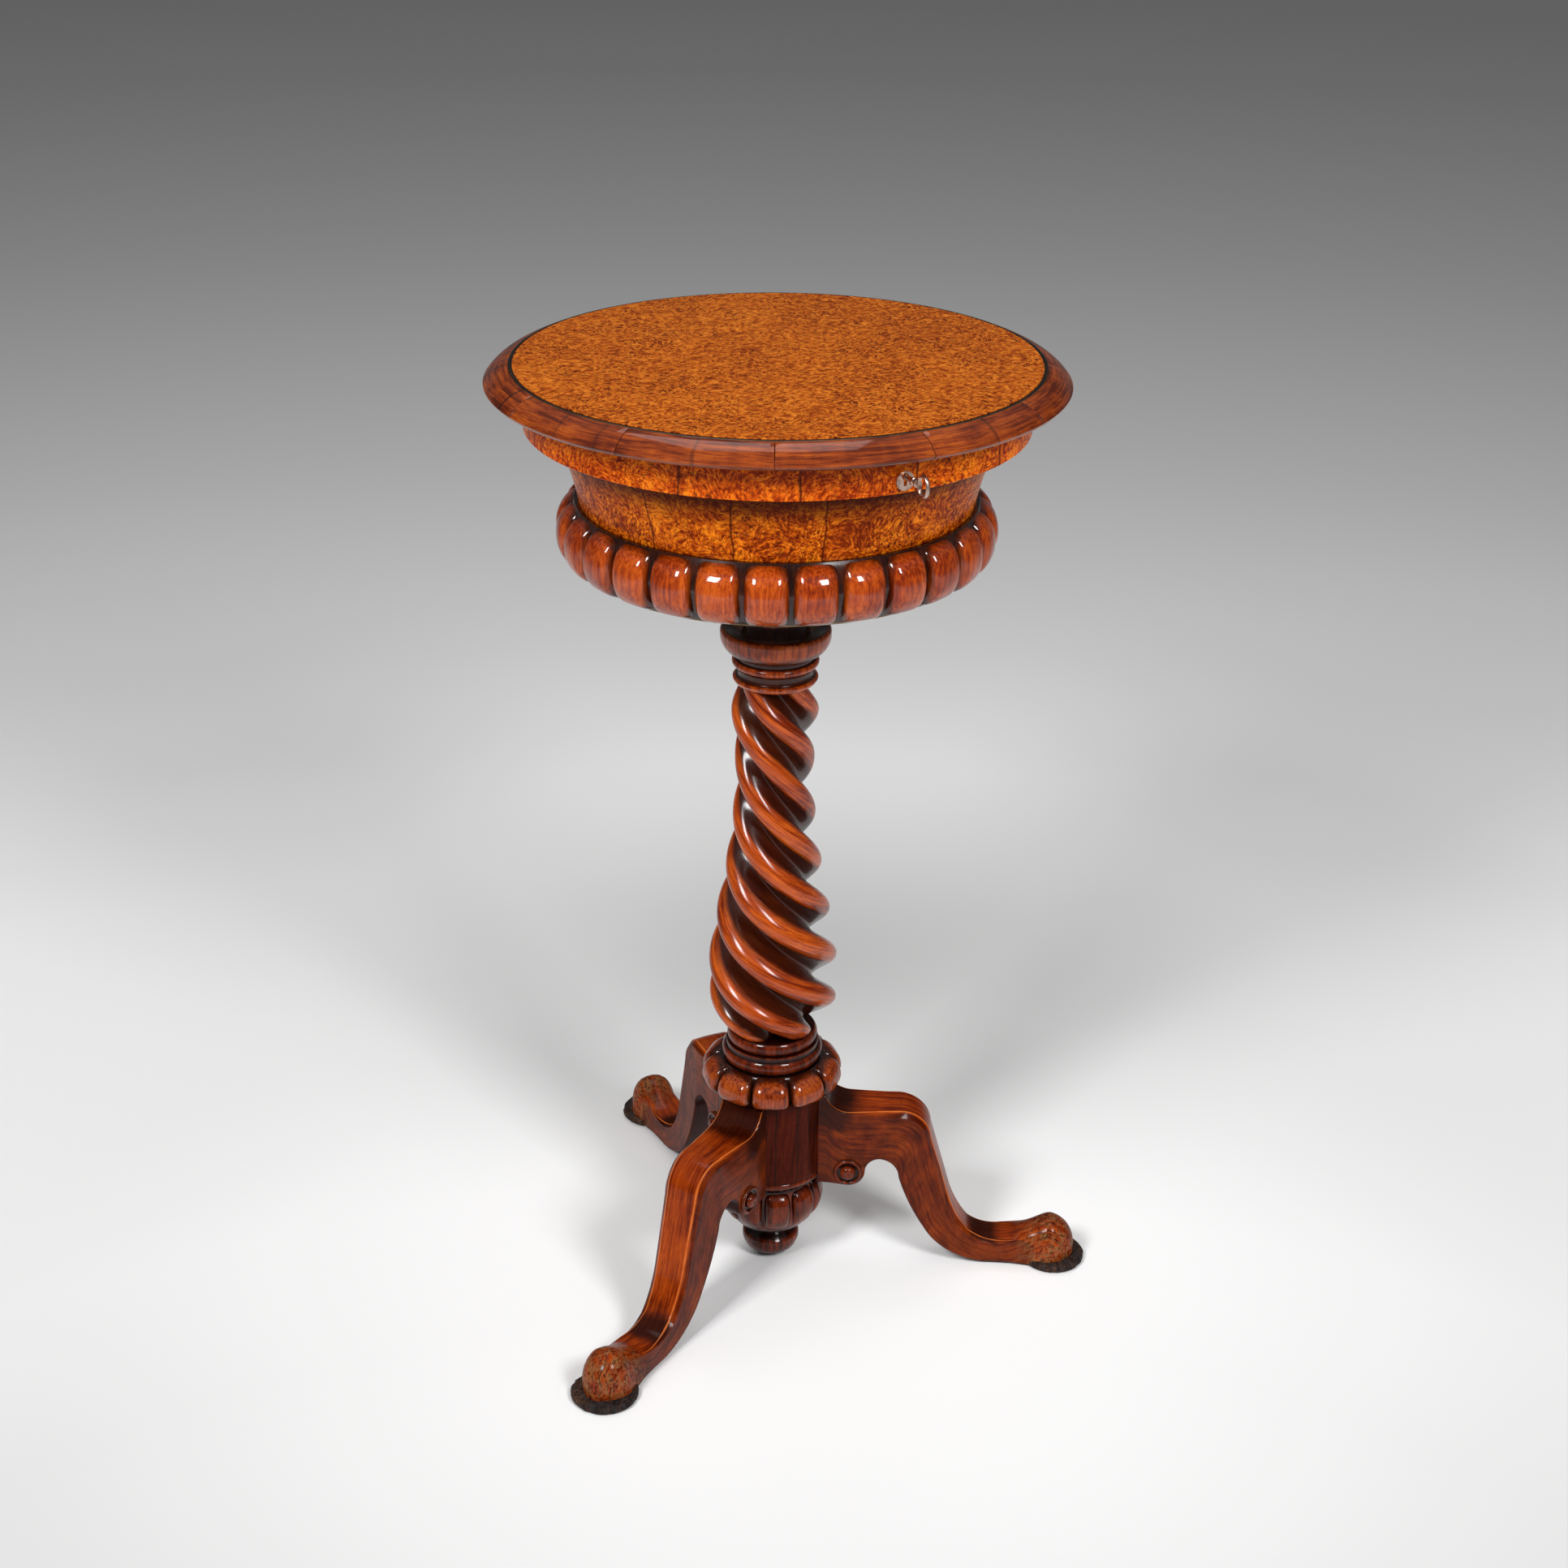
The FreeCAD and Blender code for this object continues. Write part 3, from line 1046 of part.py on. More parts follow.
def key():
    """Shank with two turned collars, a flat bit hanging down and an oval bow."""
    shank = cylinder("key_shank", s.shank_r, s.bow_y - s.bow_half_y + s.bow_wire / 2 - s.key_in,
                     0, -(s.bow_y - s.bow_half_y + s.bow_wire / 2), s.key_z, "y")
    bit = block("key_bit", -s.bit_thick / 2, -s.bit_in - s.bit_y, s.key_z - s.bit_drop,
                s.bit_thick, s.bit_y, s.bit_drop)
    rings = [cylinder(f"key_collar_{number}", s.collar_key_r, s.key_collar, 0,
                      -s.key_collar_y - 2 * s.key_collar * number, s.key_z, "y")
             for number in (0, 1)]
    bow = new_body("key_bow")
    half_y, half_z = s.bow_half_y, s.bow_half_z

    def oval(across, up):
        bend = (across * across + up * up) / (across + up) * 1.02
        return [(across, 0, bend), (0, up, bend), (-across, 0, bend), (0, -up, bend)]

    pad(bow, outline(bow, "key_bow_side", "YZ_Plane", oval(half_y, half_z),
                     loops=[oval(half_y - s.bow_wire, half_z - s.bow_wire)]),
        s.bow_thick, symmetric=True)
    place(bow, 0, -s.bow_y, s.key_z)
    return joined("key", [shank, bit, bow, *rings])


# Fittings inside: a deck with two caddies and two glass bowls let into it

def deck():
    low = s.frieze_bottom + s.shoulder_thick
    outer = s.frieze_in - s.seat * 2
    holes = [round_hole(0, s.bowl_reach * way, s.bowl_hole_r) for way in (-1, 1)]
    for way in (-1, 1):
        middle = s.caddy_reach * way
        half_x, half_y = s.caddy_x / 2 + s.part_gap, s.caddy_y / 2 + s.part_gap
        holes.append(rectangle(middle - half_x, middle + half_x, -half_y, half_y))
    board = slab("caddy_deck", round_hole(0, 0, outer), low, s.deck_thick, holes)
    return place(board)


def caddy(side, way):
    """An open box of boards, its lid with a rebate that drops into it, and a knob."""
    half_x, half_y = s.caddy_x / 2, s.caddy_y / 2
    low = s.box_floor_top
    box = slab(f"caddy_{side}", rectangle(-half_x, half_x, -half_y, half_y), low,
               s.caddy_top - low)
    wall = s.caddy_wall
    plan = outline(box, f"caddy_{side}_inside", "XY_Plane",
                   rectangle(wall - half_x, half_x - wall, wall - half_y, half_y - wall),
                   low + wall)
    inside = box.newObject("PartDesign::Pocket", f"caddy_{side}_hollow")
    inside.Profile = (plan, [""])
    inside.Reversed = True
    bind(inside, "Length", s.caddy_top - low)
    place(box, s.caddy_reach * way)
    top = slab(f"caddy_lid_{side}", rectangle(-half_x, half_x, -half_y, half_y), s.caddy_top,
               s.caddy_lid_top - s.caddy_top)
    fit = wall + s.part_gap
    plug = outline(top, f"caddy_lid_{side}_plug", "XY_Plane",
                   rectangle(fit - half_x, half_x - fit, fit - half_y, half_y - fit),
                   s.caddy_top - s.caddy_plug)
    pad(top, plug, s.caddy_plug + s.seat)
    pin = top.newObject("PartDesign::SubtractiveCylinder", f"caddy_lid_{side}_hole")
    bind(pin, "Radius", s.lid_knob_pin_r + s.thread_gap)
    bind(pin, "Height", s.overrun * 2)
    bind(pin, "Placement.Base.z", s.caddy_lid_top - s.lid_knob_pin - s.seat)
    place(top, s.caddy_reach * way)
    knob = turned(f"caddy_knob_{side}", [
        (0, s.caddy_lid_top - s.lid_knob_pin), (s.lid_knob_pin_r, s.caddy_lid_top - s.lid_knob_pin),
        (s.lid_knob_pin_r, s.caddy_lid_top), (s.knob_seat_r, s.caddy_lid_top),
        (s.knob_waist_r, s.caddy_lid_top + s.lid_knob_rise * 0.35),
        (s.knob_ball_r, s.caddy_lid_top + s.lid_knob_rise - s.knob_ball_rise),
        (s.knob_ball_r / 2, s.caddy_lid_top + s.lid_knob_rise),
        (0, s.caddy_lid_top + s.lid_knob_rise)])
    place(knob, s.caddy_reach * way)
    return [box, top, knob]


def bowl(side, way):
    """Glass mixing bowl that hangs in the deck by its lip."""
    low = s.frieze_bottom + s.shoulder_thick + s.deck_thick
    top = low + s.bowl_lip
    inner = s.bowl_r - s.bowl_wall
    floor, foot_in = s.bowl_bottom + s.bowl_wall * 1.5, s.bowl_foot_r - s.bowl_wall / 2
    glass = turned(f"bowl_{side}", [
        (0, s.bowl_bottom), *bowed((s.bowl_foot_r, s.bowl_bottom), (s.bowl_r, low), s.bowl_bow, 3),
        (s.bowl_r, low), (s.bowl_lip_r, low), (s.bowl_lip_r, top), (inner, top),
        *bowed((inner, low), (foot_in, floor), -s.bowl_bow, 3), (foot_in, floor), (0, floor)])
    return place(glass, 0, s.bowl_reach * way)


# Build every piece, check it and write it

def build():
    nodes = foot_pads() + [leg(side, azimuth) for side, azimuth in LEGS.items()]
    nodes += [roundels(), hub(), pendant(), gadroon_collar(), pillar()]
    nodes += box_base() + [gadroon_ring()] + waist() + [shoulder()]
    hinge_pieces, box_holes, lid_holes = hinges()
    lock_pieces, lock_holes = lock()
    link_pieces, link_holes = link_plate()
    nodes += frieze(box_holes, lock_holes) + hinge_pieces + lock_pieces + link_pieces
    nodes += lid(lid_holes, link_holes) + [bolt(), key(), escutcheon(), deck()]
    for side, way in (("left", -1), ("right", 1)):
        nodes += caddy(side, way)
    for side, way in (("front", -1), ("back", 1)):
        nodes.append(bowl(side, way))
    return nodes


def check(nodes):
    for thing in doc.Objects:
        if {"Invalid", "Error"} & set(thing.State):
            raise RuntimeError(f"{thing.Name} did not build: {thing.State}")
    for node in nodes:
        shape = node.Shape
        if shape.isNull() or not shape.isValid() or not shape.Solids:
            raise RuntimeError(f"{node.Label} is not a valid solid")


nodes = build()
doc.recompute()
check(nodes)
os.makedirs("parts", exist_ok=True)
for node in nodes:
    node.Shape.exportStep(f"parts/{node.Label}.step")
    print(f"{node.Label}: {len(node.Shape.Solids)} solid(s), {node.Shape.Volume / 1000:.1f} cm3")
print(len(nodes), "nodes written")
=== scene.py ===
# %% [markdown]
# A teapoy is a locked tea chest that stands on a turned pillar and three carved legs.
# The imported solids say where every piece goes and how the lid, the key and the bolt move.
# This lesson makes the turned, carved and veneered surfaces again, smooth and finished,
# right on top of those solids. It could be done by adding modifiers to the solids, but
# they are loose triangles, so each show surface is built fresh from the same few sizes.
# The first cell loads the imported model.
# %% Load the imported model
import functools
import math
import random

import bmesh
import bpy
from mathutils import Matrix, Vector


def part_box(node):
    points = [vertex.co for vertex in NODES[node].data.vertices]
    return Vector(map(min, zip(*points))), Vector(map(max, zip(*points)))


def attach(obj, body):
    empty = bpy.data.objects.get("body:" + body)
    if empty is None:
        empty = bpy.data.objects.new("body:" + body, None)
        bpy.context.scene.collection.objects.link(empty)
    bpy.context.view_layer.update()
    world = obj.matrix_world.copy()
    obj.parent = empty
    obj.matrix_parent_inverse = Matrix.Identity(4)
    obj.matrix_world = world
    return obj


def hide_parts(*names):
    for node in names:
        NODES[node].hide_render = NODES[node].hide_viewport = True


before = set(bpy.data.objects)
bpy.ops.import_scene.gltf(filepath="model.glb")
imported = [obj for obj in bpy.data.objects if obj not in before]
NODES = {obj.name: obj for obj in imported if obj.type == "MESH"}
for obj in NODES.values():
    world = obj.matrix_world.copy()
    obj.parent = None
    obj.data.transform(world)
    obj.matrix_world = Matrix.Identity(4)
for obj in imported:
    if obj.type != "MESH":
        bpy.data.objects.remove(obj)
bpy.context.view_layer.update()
MM = 0.001
AXIS_Y = (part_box("waist_carcass")[0].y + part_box("waist_carcass")[1].y) / 2
print("nodes", len(NODES), "column axis y", round(AXIS_Y, 4))

# %% [markdown]
# A turner works from a profile: the line that a tool follows while the wood spins.
# Here a profile is a list of (radius, height) pairs in millimetres, with arcs for the
# swelling beads and the hollow coves. Arcs could come from curve objects, but a few lines
# of geometry keep every number readable. Sandpaper and two centuries of dusting have
# rounded all corners a little, so one helper eases each sharp corner of an outline.
# %% Arcs and eased corners for profiles
TINY = 1e-6


def held(value, low=0.0, high=1.0):
    """The value, kept between two limits."""
    return min(max(value, low), high)


def smooth(value):
    """Goes from 0 to 1 with a soft start and a soft end."""
    value = held(value)
    return value * value * (3 - 2 * value)


def bow(start, end, rise, steps=10):
    """Points of an arc from start up to but not including end; it rises right of travel."""
    chord = math.dist(start, end)
    radius = (chord * chord / 4 + rise * rise) / (2 * rise)
    half = 2 * math.atan(2 * rise / chord)
    right = Vector(((end[1] - start[1]) / chord, (start[0] - end[0]) / chord))
    centre = (Vector(start) + Vector(end)) / 2 - right * (radius - rise)
    arm = Vector(start) - centre
    made = []
    for step in range(steps):
        angle = 2 * half * step / steps
        x = arm.x * math.cos(angle) - arm.y * math.sin(angle)
        y = arm.x * math.sin(angle) + arm.y * math.cos(angle)
        made.append((centre.x + x, centre.y + y))
    return made


def arc(start, end, rise, steps=10):
    """The same with both of its ends."""
    return [start, *bow(start, end, rise, steps)[1:], end]


def sweep_arc(start, end, radius, steps=10):
    """A bow given by its radius: positive keeps the centre left of travel."""
    chord = math.dist(start, end)
    rise = abs(radius) - math.sqrt(radius * radius - chord * chord / 4)
    return bow(start, end, math.copysign(rise, radius), steps)


STRAIGHT = 0.4           # radians; a bend flatter than this has no corner to ease


def eased(outline, ease):
    """The closed outline with its sharp corners worn round by about ease."""
    made = []
    for index, point in enumerate(outline):
        tip = Vector(point)
        back = Vector(outline[index - 1]) - tip
        ahead = Vector(outline[(index + 1) % len(outline)]) - tip
        on_line = min(tip.x, back.length, ahead.length) < TINY
        if on_line or math.pi - back.angle(ahead) < STRAIGHT:
            made.append(tuple(tip))
            continue
        step = min(ease, back.length * 0.4, ahead.length * 0.4)
        near = tip + back.normalized() * step
        far = tip + ahead.normalized() * step
        made += [tuple(near), tuple((near + far + tip * 2) / 4), tuple(far)]
    return made


print("a bow of 4 points", [tuple(round(v, 1) for v in p) for p in bow((0, 0), (0, 8), 2, 4)])

# %% [markdown]
# Old polish gathers dirt in hollows and wears thin on edges, and the hollows also get painted
# shade. The materials need to know where those are, so each mesh carries three numbers per
# point: hollow, edge and scuff.
# It also carries grain, the point's place in the plank it was cut from, first along
# the grain and then across it, in metres. Painting these by hand would be slow; the code
# that makes a shape knows them anyway. This cell turns points and faces into an object
# with those values, merged, facing outwards and smooth except at real arrises.
# %% Turn points and faces into a finished mesh
MARKS = ("hollow", "edge", "scuff")


def link(title, data):
    """Puts new data into the scene as an object."""
    made = bpy.data.objects.new(title, data)
    bpy.context.scene.collection.objects.link(made)
    return made


def mesh_piece(name, points, faces, marks=None, grain=None, sharp=40):
    """A mesh object from points, faces and per-point values."""
    marks = marks or {}
    work = bmesh.new()
    layers = {title: work.verts.layers.float.new(title) for title in MARKS}
    grains = work.verts.layers.float_vector.new("grain")
    verts = []
    for index, point in enumerate(points):
        vert = work.verts.new(point)
        for title, layer in layers.items():
            if title in marks:
                vert[layer] = marks[title][index]
        vert[grains] = grain[index] if grain else (point[2], point[0], point[1])
        verts.append(vert)
    for face in faces:
        work.faces.new([verts[index] for index in face])
    bmesh.ops.remove_doubles(work, verts=work.verts, dist=2e-7)
    bmesh.ops.dissolve_degenerate(work, edges=work.edges, dist=1e-7)
    bmesh.ops.recalc_face_normals(work, faces=work.faces)
    mesh = bpy.data.meshes.new(name)
    work.to_mesh(mesh)
    work.free()
    mesh.shade_smooth()
    mesh.set_sharp_from_angle(angle=math.radians(sharp))
    return link(name, mesh)


def lengths(line):
    """Running length along a line."""
    run = [0.0]
    for a, b in zip(line, line[1:]):
        run.append(run[-1] + math.dist(a, b))
    return run


REACH = 5.0              # mm of height in which a profile point looks for taller neighbours
DEPTH = 4.0              # mm below its neighbours that count as fully sunk


def relief(outline):
    """How sunk and how proud each profile point stands beside its neighbours."""
    sunk = []
    proud = []
    run = lengths(outline)
    for (radius, height), place in zip(outline, run):
        near = [other for other, level in outline if abs(level - height) < REACH]
        top = max(near)
        sunk.append(held((top - radius) / DEPTH) if radius > TINY else 0.0)
        beside = [other for (other, _), spot in zip(outline, run) if abs(spot - place) < 3.0]
        stands = top - radius < 0.3 and min(beside) < top - 1.5
        proud.append(0.8 if stands else 0.0)
    return sunk, proud


def ruled(outline, step=2.5):
    """Adds points on long upright runs, so that marks at a corner stay near the corner."""
    made = []
    for start, end in zip(outline, outline[1:] + outline[:1]):
        upright = abs(end[1] - start[1]) if max(start[0], end[0]) > TINY else 0.0
        parts = max(math.ceil(upright / step), 1)
        for part in range(parts):
            share = part / parts
            made.append((start[0] + (end[0] - start[0]) * share,
                         start[1] + (end[1] - start[1]) * share))
    return made


def grid_faces(columns, rows, round_columns=True, round_rows=True):
    """Quads between neighbouring columns of points; either way can close on itself."""
    faces = []
    for column in range(columns if round_columns else columns - 1):
        this = column * rows
        following = (column + 1) % columns * rows
        for row in range(rows if round_rows else rows - 1):
            after = (row + 1) % rows
            faces.append((this + row, following + row, following + after, this + after))
    return faces


def turned(name, outline, steps=160, centre=None, sharp=40, dirt_and_shade=None):
    """Spins a closed outline of (radius, height) in mm round an upright axis."""
    middle = Vector((0, AXIS_Y)) if centre is None else Vector(centre)
    outline = outline if dirt_and_shade else ruled(outline)
    rows = len(outline)
    sunk, proud = relief(outline)
    points = []
    for column in range(steps):
        angle = math.radians(360.0 * column / steps)
        for radius, height in outline:
            points.append((middle.x + radius * MM * math.cos(angle),
                           middle.y + radius * MM * math.sin(angle), height * MM))
    on_axis = [radius < TINY for radius, _ in outline]
    faces = [face for face in grid_faces(steps, rows)
             if not (on_axis[face[0] % rows] and on_axis[face[3] % rows])]
    # Painted shade and dirt: points sunk below their neighbours darken in the finish.
    marks = {"hollow": (dirt_and_shade or sunk) * steps, "edge": proud * steps}
    return mesh_piece(name, points, faces, marks, sharp=sharp)


print("marks that every made mesh carries:", ", ".join(MARKS), "and grain")

# %% [markdown]
# The finishes come next. All of them are node trees, and some of their effects are used
# by several woods: the long grain of sawn timber, the eyes and swirls of burr veneer,
# the dirt, wear and painted shade of old polish, the joints between veneers, and the patina of
# metal.
# Each effect is a node group, built once, with named inputs. Copying the nodes into every
# material would work, but then one change would have to be made many times.
# The first cell holds the small helpers that put nodes on a tree. A socket knows the
# tree that it belongs to, so sums can be written without naming the tree each time.
# %% Helpers that place shader nodes
KINDS = {"value": "NodeSocketFloat", "vector": "NodeSocketVector", "colour": "NodeSocketColor"}


def feed(inputs, values):
    """Links a socket to an input, or types a value on it."""
    for title, value in values.items():
        if isinstance(value, bpy.types.NodeSocket):
            value.id_data.links.new(value, inputs[title])
        else:
            inputs[title].default_value = value


def put(tree, kind, inputs=None, **settings):
    """Adds a node, sets it up and feeds its inputs."""
    node = tree.nodes.new(kind)
    for title, value in settings.items():
        setattr(node, title, value)
    feed(node.inputs, inputs or {})
    return node


def put_near(values, kind, inputs, **settings):
    """Adds a node to the tree that one of the values belongs to."""
    socket = next(value for value in values if isinstance(value, bpy.types.NodeSocket))
    return put(socket.id_data, kind, inputs, **settings)


def calc(operation, *values, clamp=False):
    """One step of arithmetic."""
    return put_near(values, "ShaderNodeMath", dict(enumerate(values)), operation=operation,
                    use_clamp=clamp).outputs[0]


times, plus, minus, divide, raised, most = [
    functools.partial(calc, operation)
    for operation in ("MULTIPLY", "ADD", "SUBTRACT", "DIVIDE", "POWER", "MAXIMUM")]


def vectors(operation, *values):
    """One step of arithmetic on vectors: its vector output and its value output."""
    return put_near(values, "ShaderNodeVectorMath", dict(enumerate(values)),
                    operation=operation).outputs


def stretch(vector, scale):
    """The vector multiplied by a scale for each direction."""
    return vectors("MULTIPLY", vector, scale)[0]


def split(vector):
    """The three parts of a vector."""
    return put_near([vector], "ShaderNodeSeparateXYZ", {0: vector}).outputs


def joined(*parts):
    """A vector from its parts."""
    return put_near(parts, "ShaderNodeCombineXYZ", dict(enumerate(parts))).outputs[0]


def noise_at(vector, scale, detail=3.0, rough=0.5, twist=0.0):
    """The 0 to 1 value of a noise texture."""
    return put_near([vector], "ShaderNodeTexNoise", {
        "Vector": vector, "Scale": scale, "Detail": detail, "Roughness": rough,
        "Distortion": twist}).outputs[0]


def ease_in(value, low, high, start=0.0, end=1.0):
    """Smoothly goes from start to end while the value goes from low to high."""
    return put_near([value], "ShaderNodeMapRange", {
        "Value": value, "From Min": low, "From Max": high, "To Min": start, "To Max": end},
        interpolation_type="SMOOTHSTEP").outputs[0]


def blend_in(share, under, over):
    """Mixes two colours by a share."""
    return put_near([share, under, over], "ShaderNodeMix", {0: share, 6: under, 7: over},
                    data_type="RGBA").outputs[2]


def here(tree):
    """Object coordinates."""
    return put(tree, "ShaderNodeTexCoord").outputs["Object"]


def effect_group(title, takes, gives):
    """An empty node group with named inputs and outputs."""
    tree = bpy.data.node_groups.new(title, "ShaderNodeTree")
    for name, kind in takes:
        tree.interface.new_socket(name, in_out="INPUT", socket_type=KINDS[kind])
    for name, kind in gives:
        tree.interface.new_socket(name, in_out="OUTPUT", socket_type=KINDS[kind])
    entry = tree.nodes.new("NodeGroupInput").outputs
    leave = tree.nodes.new("NodeGroupOutput").inputs
    return tree, entry, leave


def use(tree, group, inputs):
    """Places a node group in a tree and returns its outputs."""
    return put(tree, "ShaderNodeGroup", inputs, node_tree=group).outputs


print("kinds of socket in the groups:", ", ".join(KINDS))

# %% [markdown]
# Walnut that is sawn along the trunk shows long streaks a few millimetres wide, drifting
# slightly, and short dark dashes where its pores are cut. A wave texture would give
# rings that are too even. Noise stretched along the grain looks closer: one slow noise
# bends the lines, one makes the streaks, and a very fine one makes the pores.
# %% Group for long grain
long_grain, entry, leave = effect_group(
    "long_grain",
    [("Vector", "vector"), ("Pale", "colour"), ("Mid", "colour"), ("Deep", "colour"),
     ("Streak width", "value")],
    [("Colour", "colour"), ("Height", "value")])
drift = put(long_grain, "ShaderNodeTexNoise", {
    "Vector": stretch(entry["Vector"], (0.35, 1.0, 1.0)), "Scale": 22.0, "Detail": 2.0})
centred = vectors("SUBTRACT", drift.outputs[1], (0.5, 0.5, 0.5))[0]
bent = vectors("ADD", entry["Vector"], stretch(centred, (0.0, 0.014, 0.014)))[0]
fineness = divide(1.0, entry["Streak width"])
streaks = noise_at(stretch(bent, (0.07, 1.0, 1.0)), fineness, 5.0, 0.62)
clouds = noise_at(stretch(entry["Vector"], (0.4, 1.0, 1.0)), 26.0, 3.0)
ripple = noise_at(stretch(bent, (1.0, 0.3, 0.3)), 90.0, 2.0)
pores = noise_at(stretch(bent, (0.06, 1.0, 1.0)), 1500.0, 2.0)
tone = plus(streaks, times(clouds, 0.55))
tone = plus(tone, times(ripple, 0.25))
darker = blend_in(ease_in(tone, 0.72, 0.92), entry["Deep"], entry["Mid"])
figured = blend_in(ease_in(tone, 0.86, 1.12), darker, entry["Pale"])
pore_mask = ease_in(pores, 0.57, 0.66)
speckled = blend_in(times(pore_mask, 0.55), figured, entry["Deep"])
feed(leave, {"Colour": speckled, "Height": minus(streaks, pore_mask)})
print("long grain nodes", len(long_grain.nodes))

# %% [markdown]
# Burr veneer is sliced from a knotty growth on the trunk, so its grain goes everywhere.
# Close up it is a field of grains about two millimetres across, bright between dark
# specks, with small eyes and slow clouds of tone over it. A photograph could be wrapped
# round, but only nodes stay sharp at every size. Fine noise makes the grains, its peaks
# make the specks, warped coarser noise the clouds, and rings round scattered cells the eyes.
# %% Group for burr figure
burr_figure, entry, leave = effect_group(
    "burr_figure",
    [("Vector", "vector"), ("Pale", "colour"), ("Mid", "colour"), ("Deep", "colour"),
     ("Fleck", "colour"), ("Grain size", "value"), ("Cloud amount", "value"),
     ("Fleck amount", "value")],
    [("Colour", "colour"), ("Height", "value")])
warp = put(burr_figure, "ShaderNodeTexNoise", {
    "Vector": entry["Vector"], "Scale": 28.0, "Detail": 2.0})
warp_step = stretch(warp.outputs[1], (0.03, 0.03, 0.03))
swirled = vectors("ADD", entry["Vector"], warp_step)[0]
often = divide(1.0, entry["Grain size"])
grains = noise_at(swirled, often, 4.0, 0.66, 0.15)
curl = noise_at(swirled, 170.0, 3.0, 0.55, 0.5)
cloud = noise_at(swirled, 42.0, 3.0, 0.6, 0.6)
patch = noise_at(entry["Vector"], 12.0, 2.0)
slow = plus(times(cloud, 0.6), times(patch, 0.4))
slow = times(minus(slow, 0.5), entry["Cloud amount"])
tone = plus(times(grains, 0.55), times(curl, 0.25))
tone = plus(tone, slow)
ground = blend_in(ease_in(tone, 0.33, 0.40), entry["Deep"], entry["Mid"])
ground = blend_in(ease_in(tone, 0.40, 0.48), ground, entry["Pale"])
dash = noise_at(swirled, times(often, 1.25), 3.0, 0.6, 1.0)
dash = ease_in(dash, 0.53, 0.60)
gather = ease_in(noise_at(entry["Vector"], 30.0, 2.0), 0.38, 0.62, 0.35, 1.0)
dash = times(dash, gather)
cells = put(burr_figure, "ShaderNodeTexVoronoi", {
    "Vector": swirled, "Scale": 62.0, "Randomness": 1.0})
chosen = put(burr_figure, "ShaderNodeSeparateColor", {0: cells.outputs["Color"]}).outputs[0]
eye = times(ease_in(cells.outputs["Distance"], 0.04, 0.1, 1.0, 0.0), ease_in(chosen, 0.62, 0.7))
halo = times(ease_in(cells.outputs["Distance"], 0.1, 0.3, 1.0, 0.0), ease_in(chosen, 0.55, 0.8))
ringed = blend_in(times(halo, 0.35), ground, entry["Deep"])
specks = most(dash, eye)
specks = times(specks, entry["Fleck amount"], clamp=True)
marked = blend_in(specks, ringed, entry["Fleck"])
feed(leave, {"Colour": marked, "Height": minus(grains, specks)})
print("burr figure nodes", len(burr_figure.nodes))

# %% [markdown]
# French polish is many thin coats of shellac rubbed on with a pad. It is very glossy, but
# wax and dust turn nearly black in the hollows, edges rub through to paler wood, and
# fine smears vary the shine. The darkening in the hollows here also stands in for the shade
# that falls there, as painted shade. This group takes the finished wood colour and the three
# marks of the mesh, and gives back a colour darkened by dirt and painted shade, a roughness
# and a faint height.
# %% Group for old polish
old_polish, entry, leave = effect_group(
    "old_polish",
    [("Vector", "vector"), ("Wood", "colour"), ("Grime and shade", "colour"), ("Worn", "colour"),
     ("Hollow", "value"), ("Edge", "value"), ("Scuff", "value"), ("Shine", "value")],
    [("Colour", "colour"), ("Roughness", "value"), ("Height", "value")])
blotch = noise_at(entry["Vector"], 60.0, 4.0, 0.6)
fine = noise_at(entry["Vector"], 420.0, 3.0, 0.6)
soft = minus(blotch, 0.5)
sunk = plus(entry["Hollow"], times(soft, 0.45))
# Painted shade and dirt: points deep in a hollow darken towards the grime and shade colour.
dirt_and_shade = ease_in(sunk, 0.22, 0.72)
freckle = times(ease_in(fine, 0.6, 0.7), 0.35)
dirt_and_shade = most(dirt_and_shade, freckle)
grimed_and_shaded = blend_in(times(dirt_and_shade, 0.93), entry["Wood"], entry["Grime and shade"])
rubbed = plus(entry["Edge"], times(soft, 0.9))
rubbed = times(ease_in(rubbed, 0.45, 0.95), 0.75)
edged = blend_in(rubbed, grimed_and_shaded, entry["Worn"])
chips = noise_at(entry["Vector"], 190.0, 4.0, 0.7)
scuffed = times(entry["Scuff"], ease_in(chips, 0.42, 0.62))
rubbed_brown = stretch(entry["Worn"], (0.36, 0.66, 1.3))
mottled = blend_in(times(scuffed, 0.8), edged, rubbed_brown)
pits = times(entry["Scuff"], ease_in(fine, 0.5, 0.62))
mottled = blend_in(times(pits, 0.7), mottled, entry["Grime and shade"])
smear = times(noise_at(entry["Vector"], 17.0, 3.0), 0.10)
dull = plus(entry["Shine"], smear)
dull = plus(dull, times(dirt_and_shade, 0.10))
dull = plus(dull, times(entry["Scuff"], 0.22))
feed(leave, {"Colour": mottled, "Roughness": dull, "Height": minus(times(blotch, 0.6), pits)})
print("old polish nodes", len(old_polish.nodes))

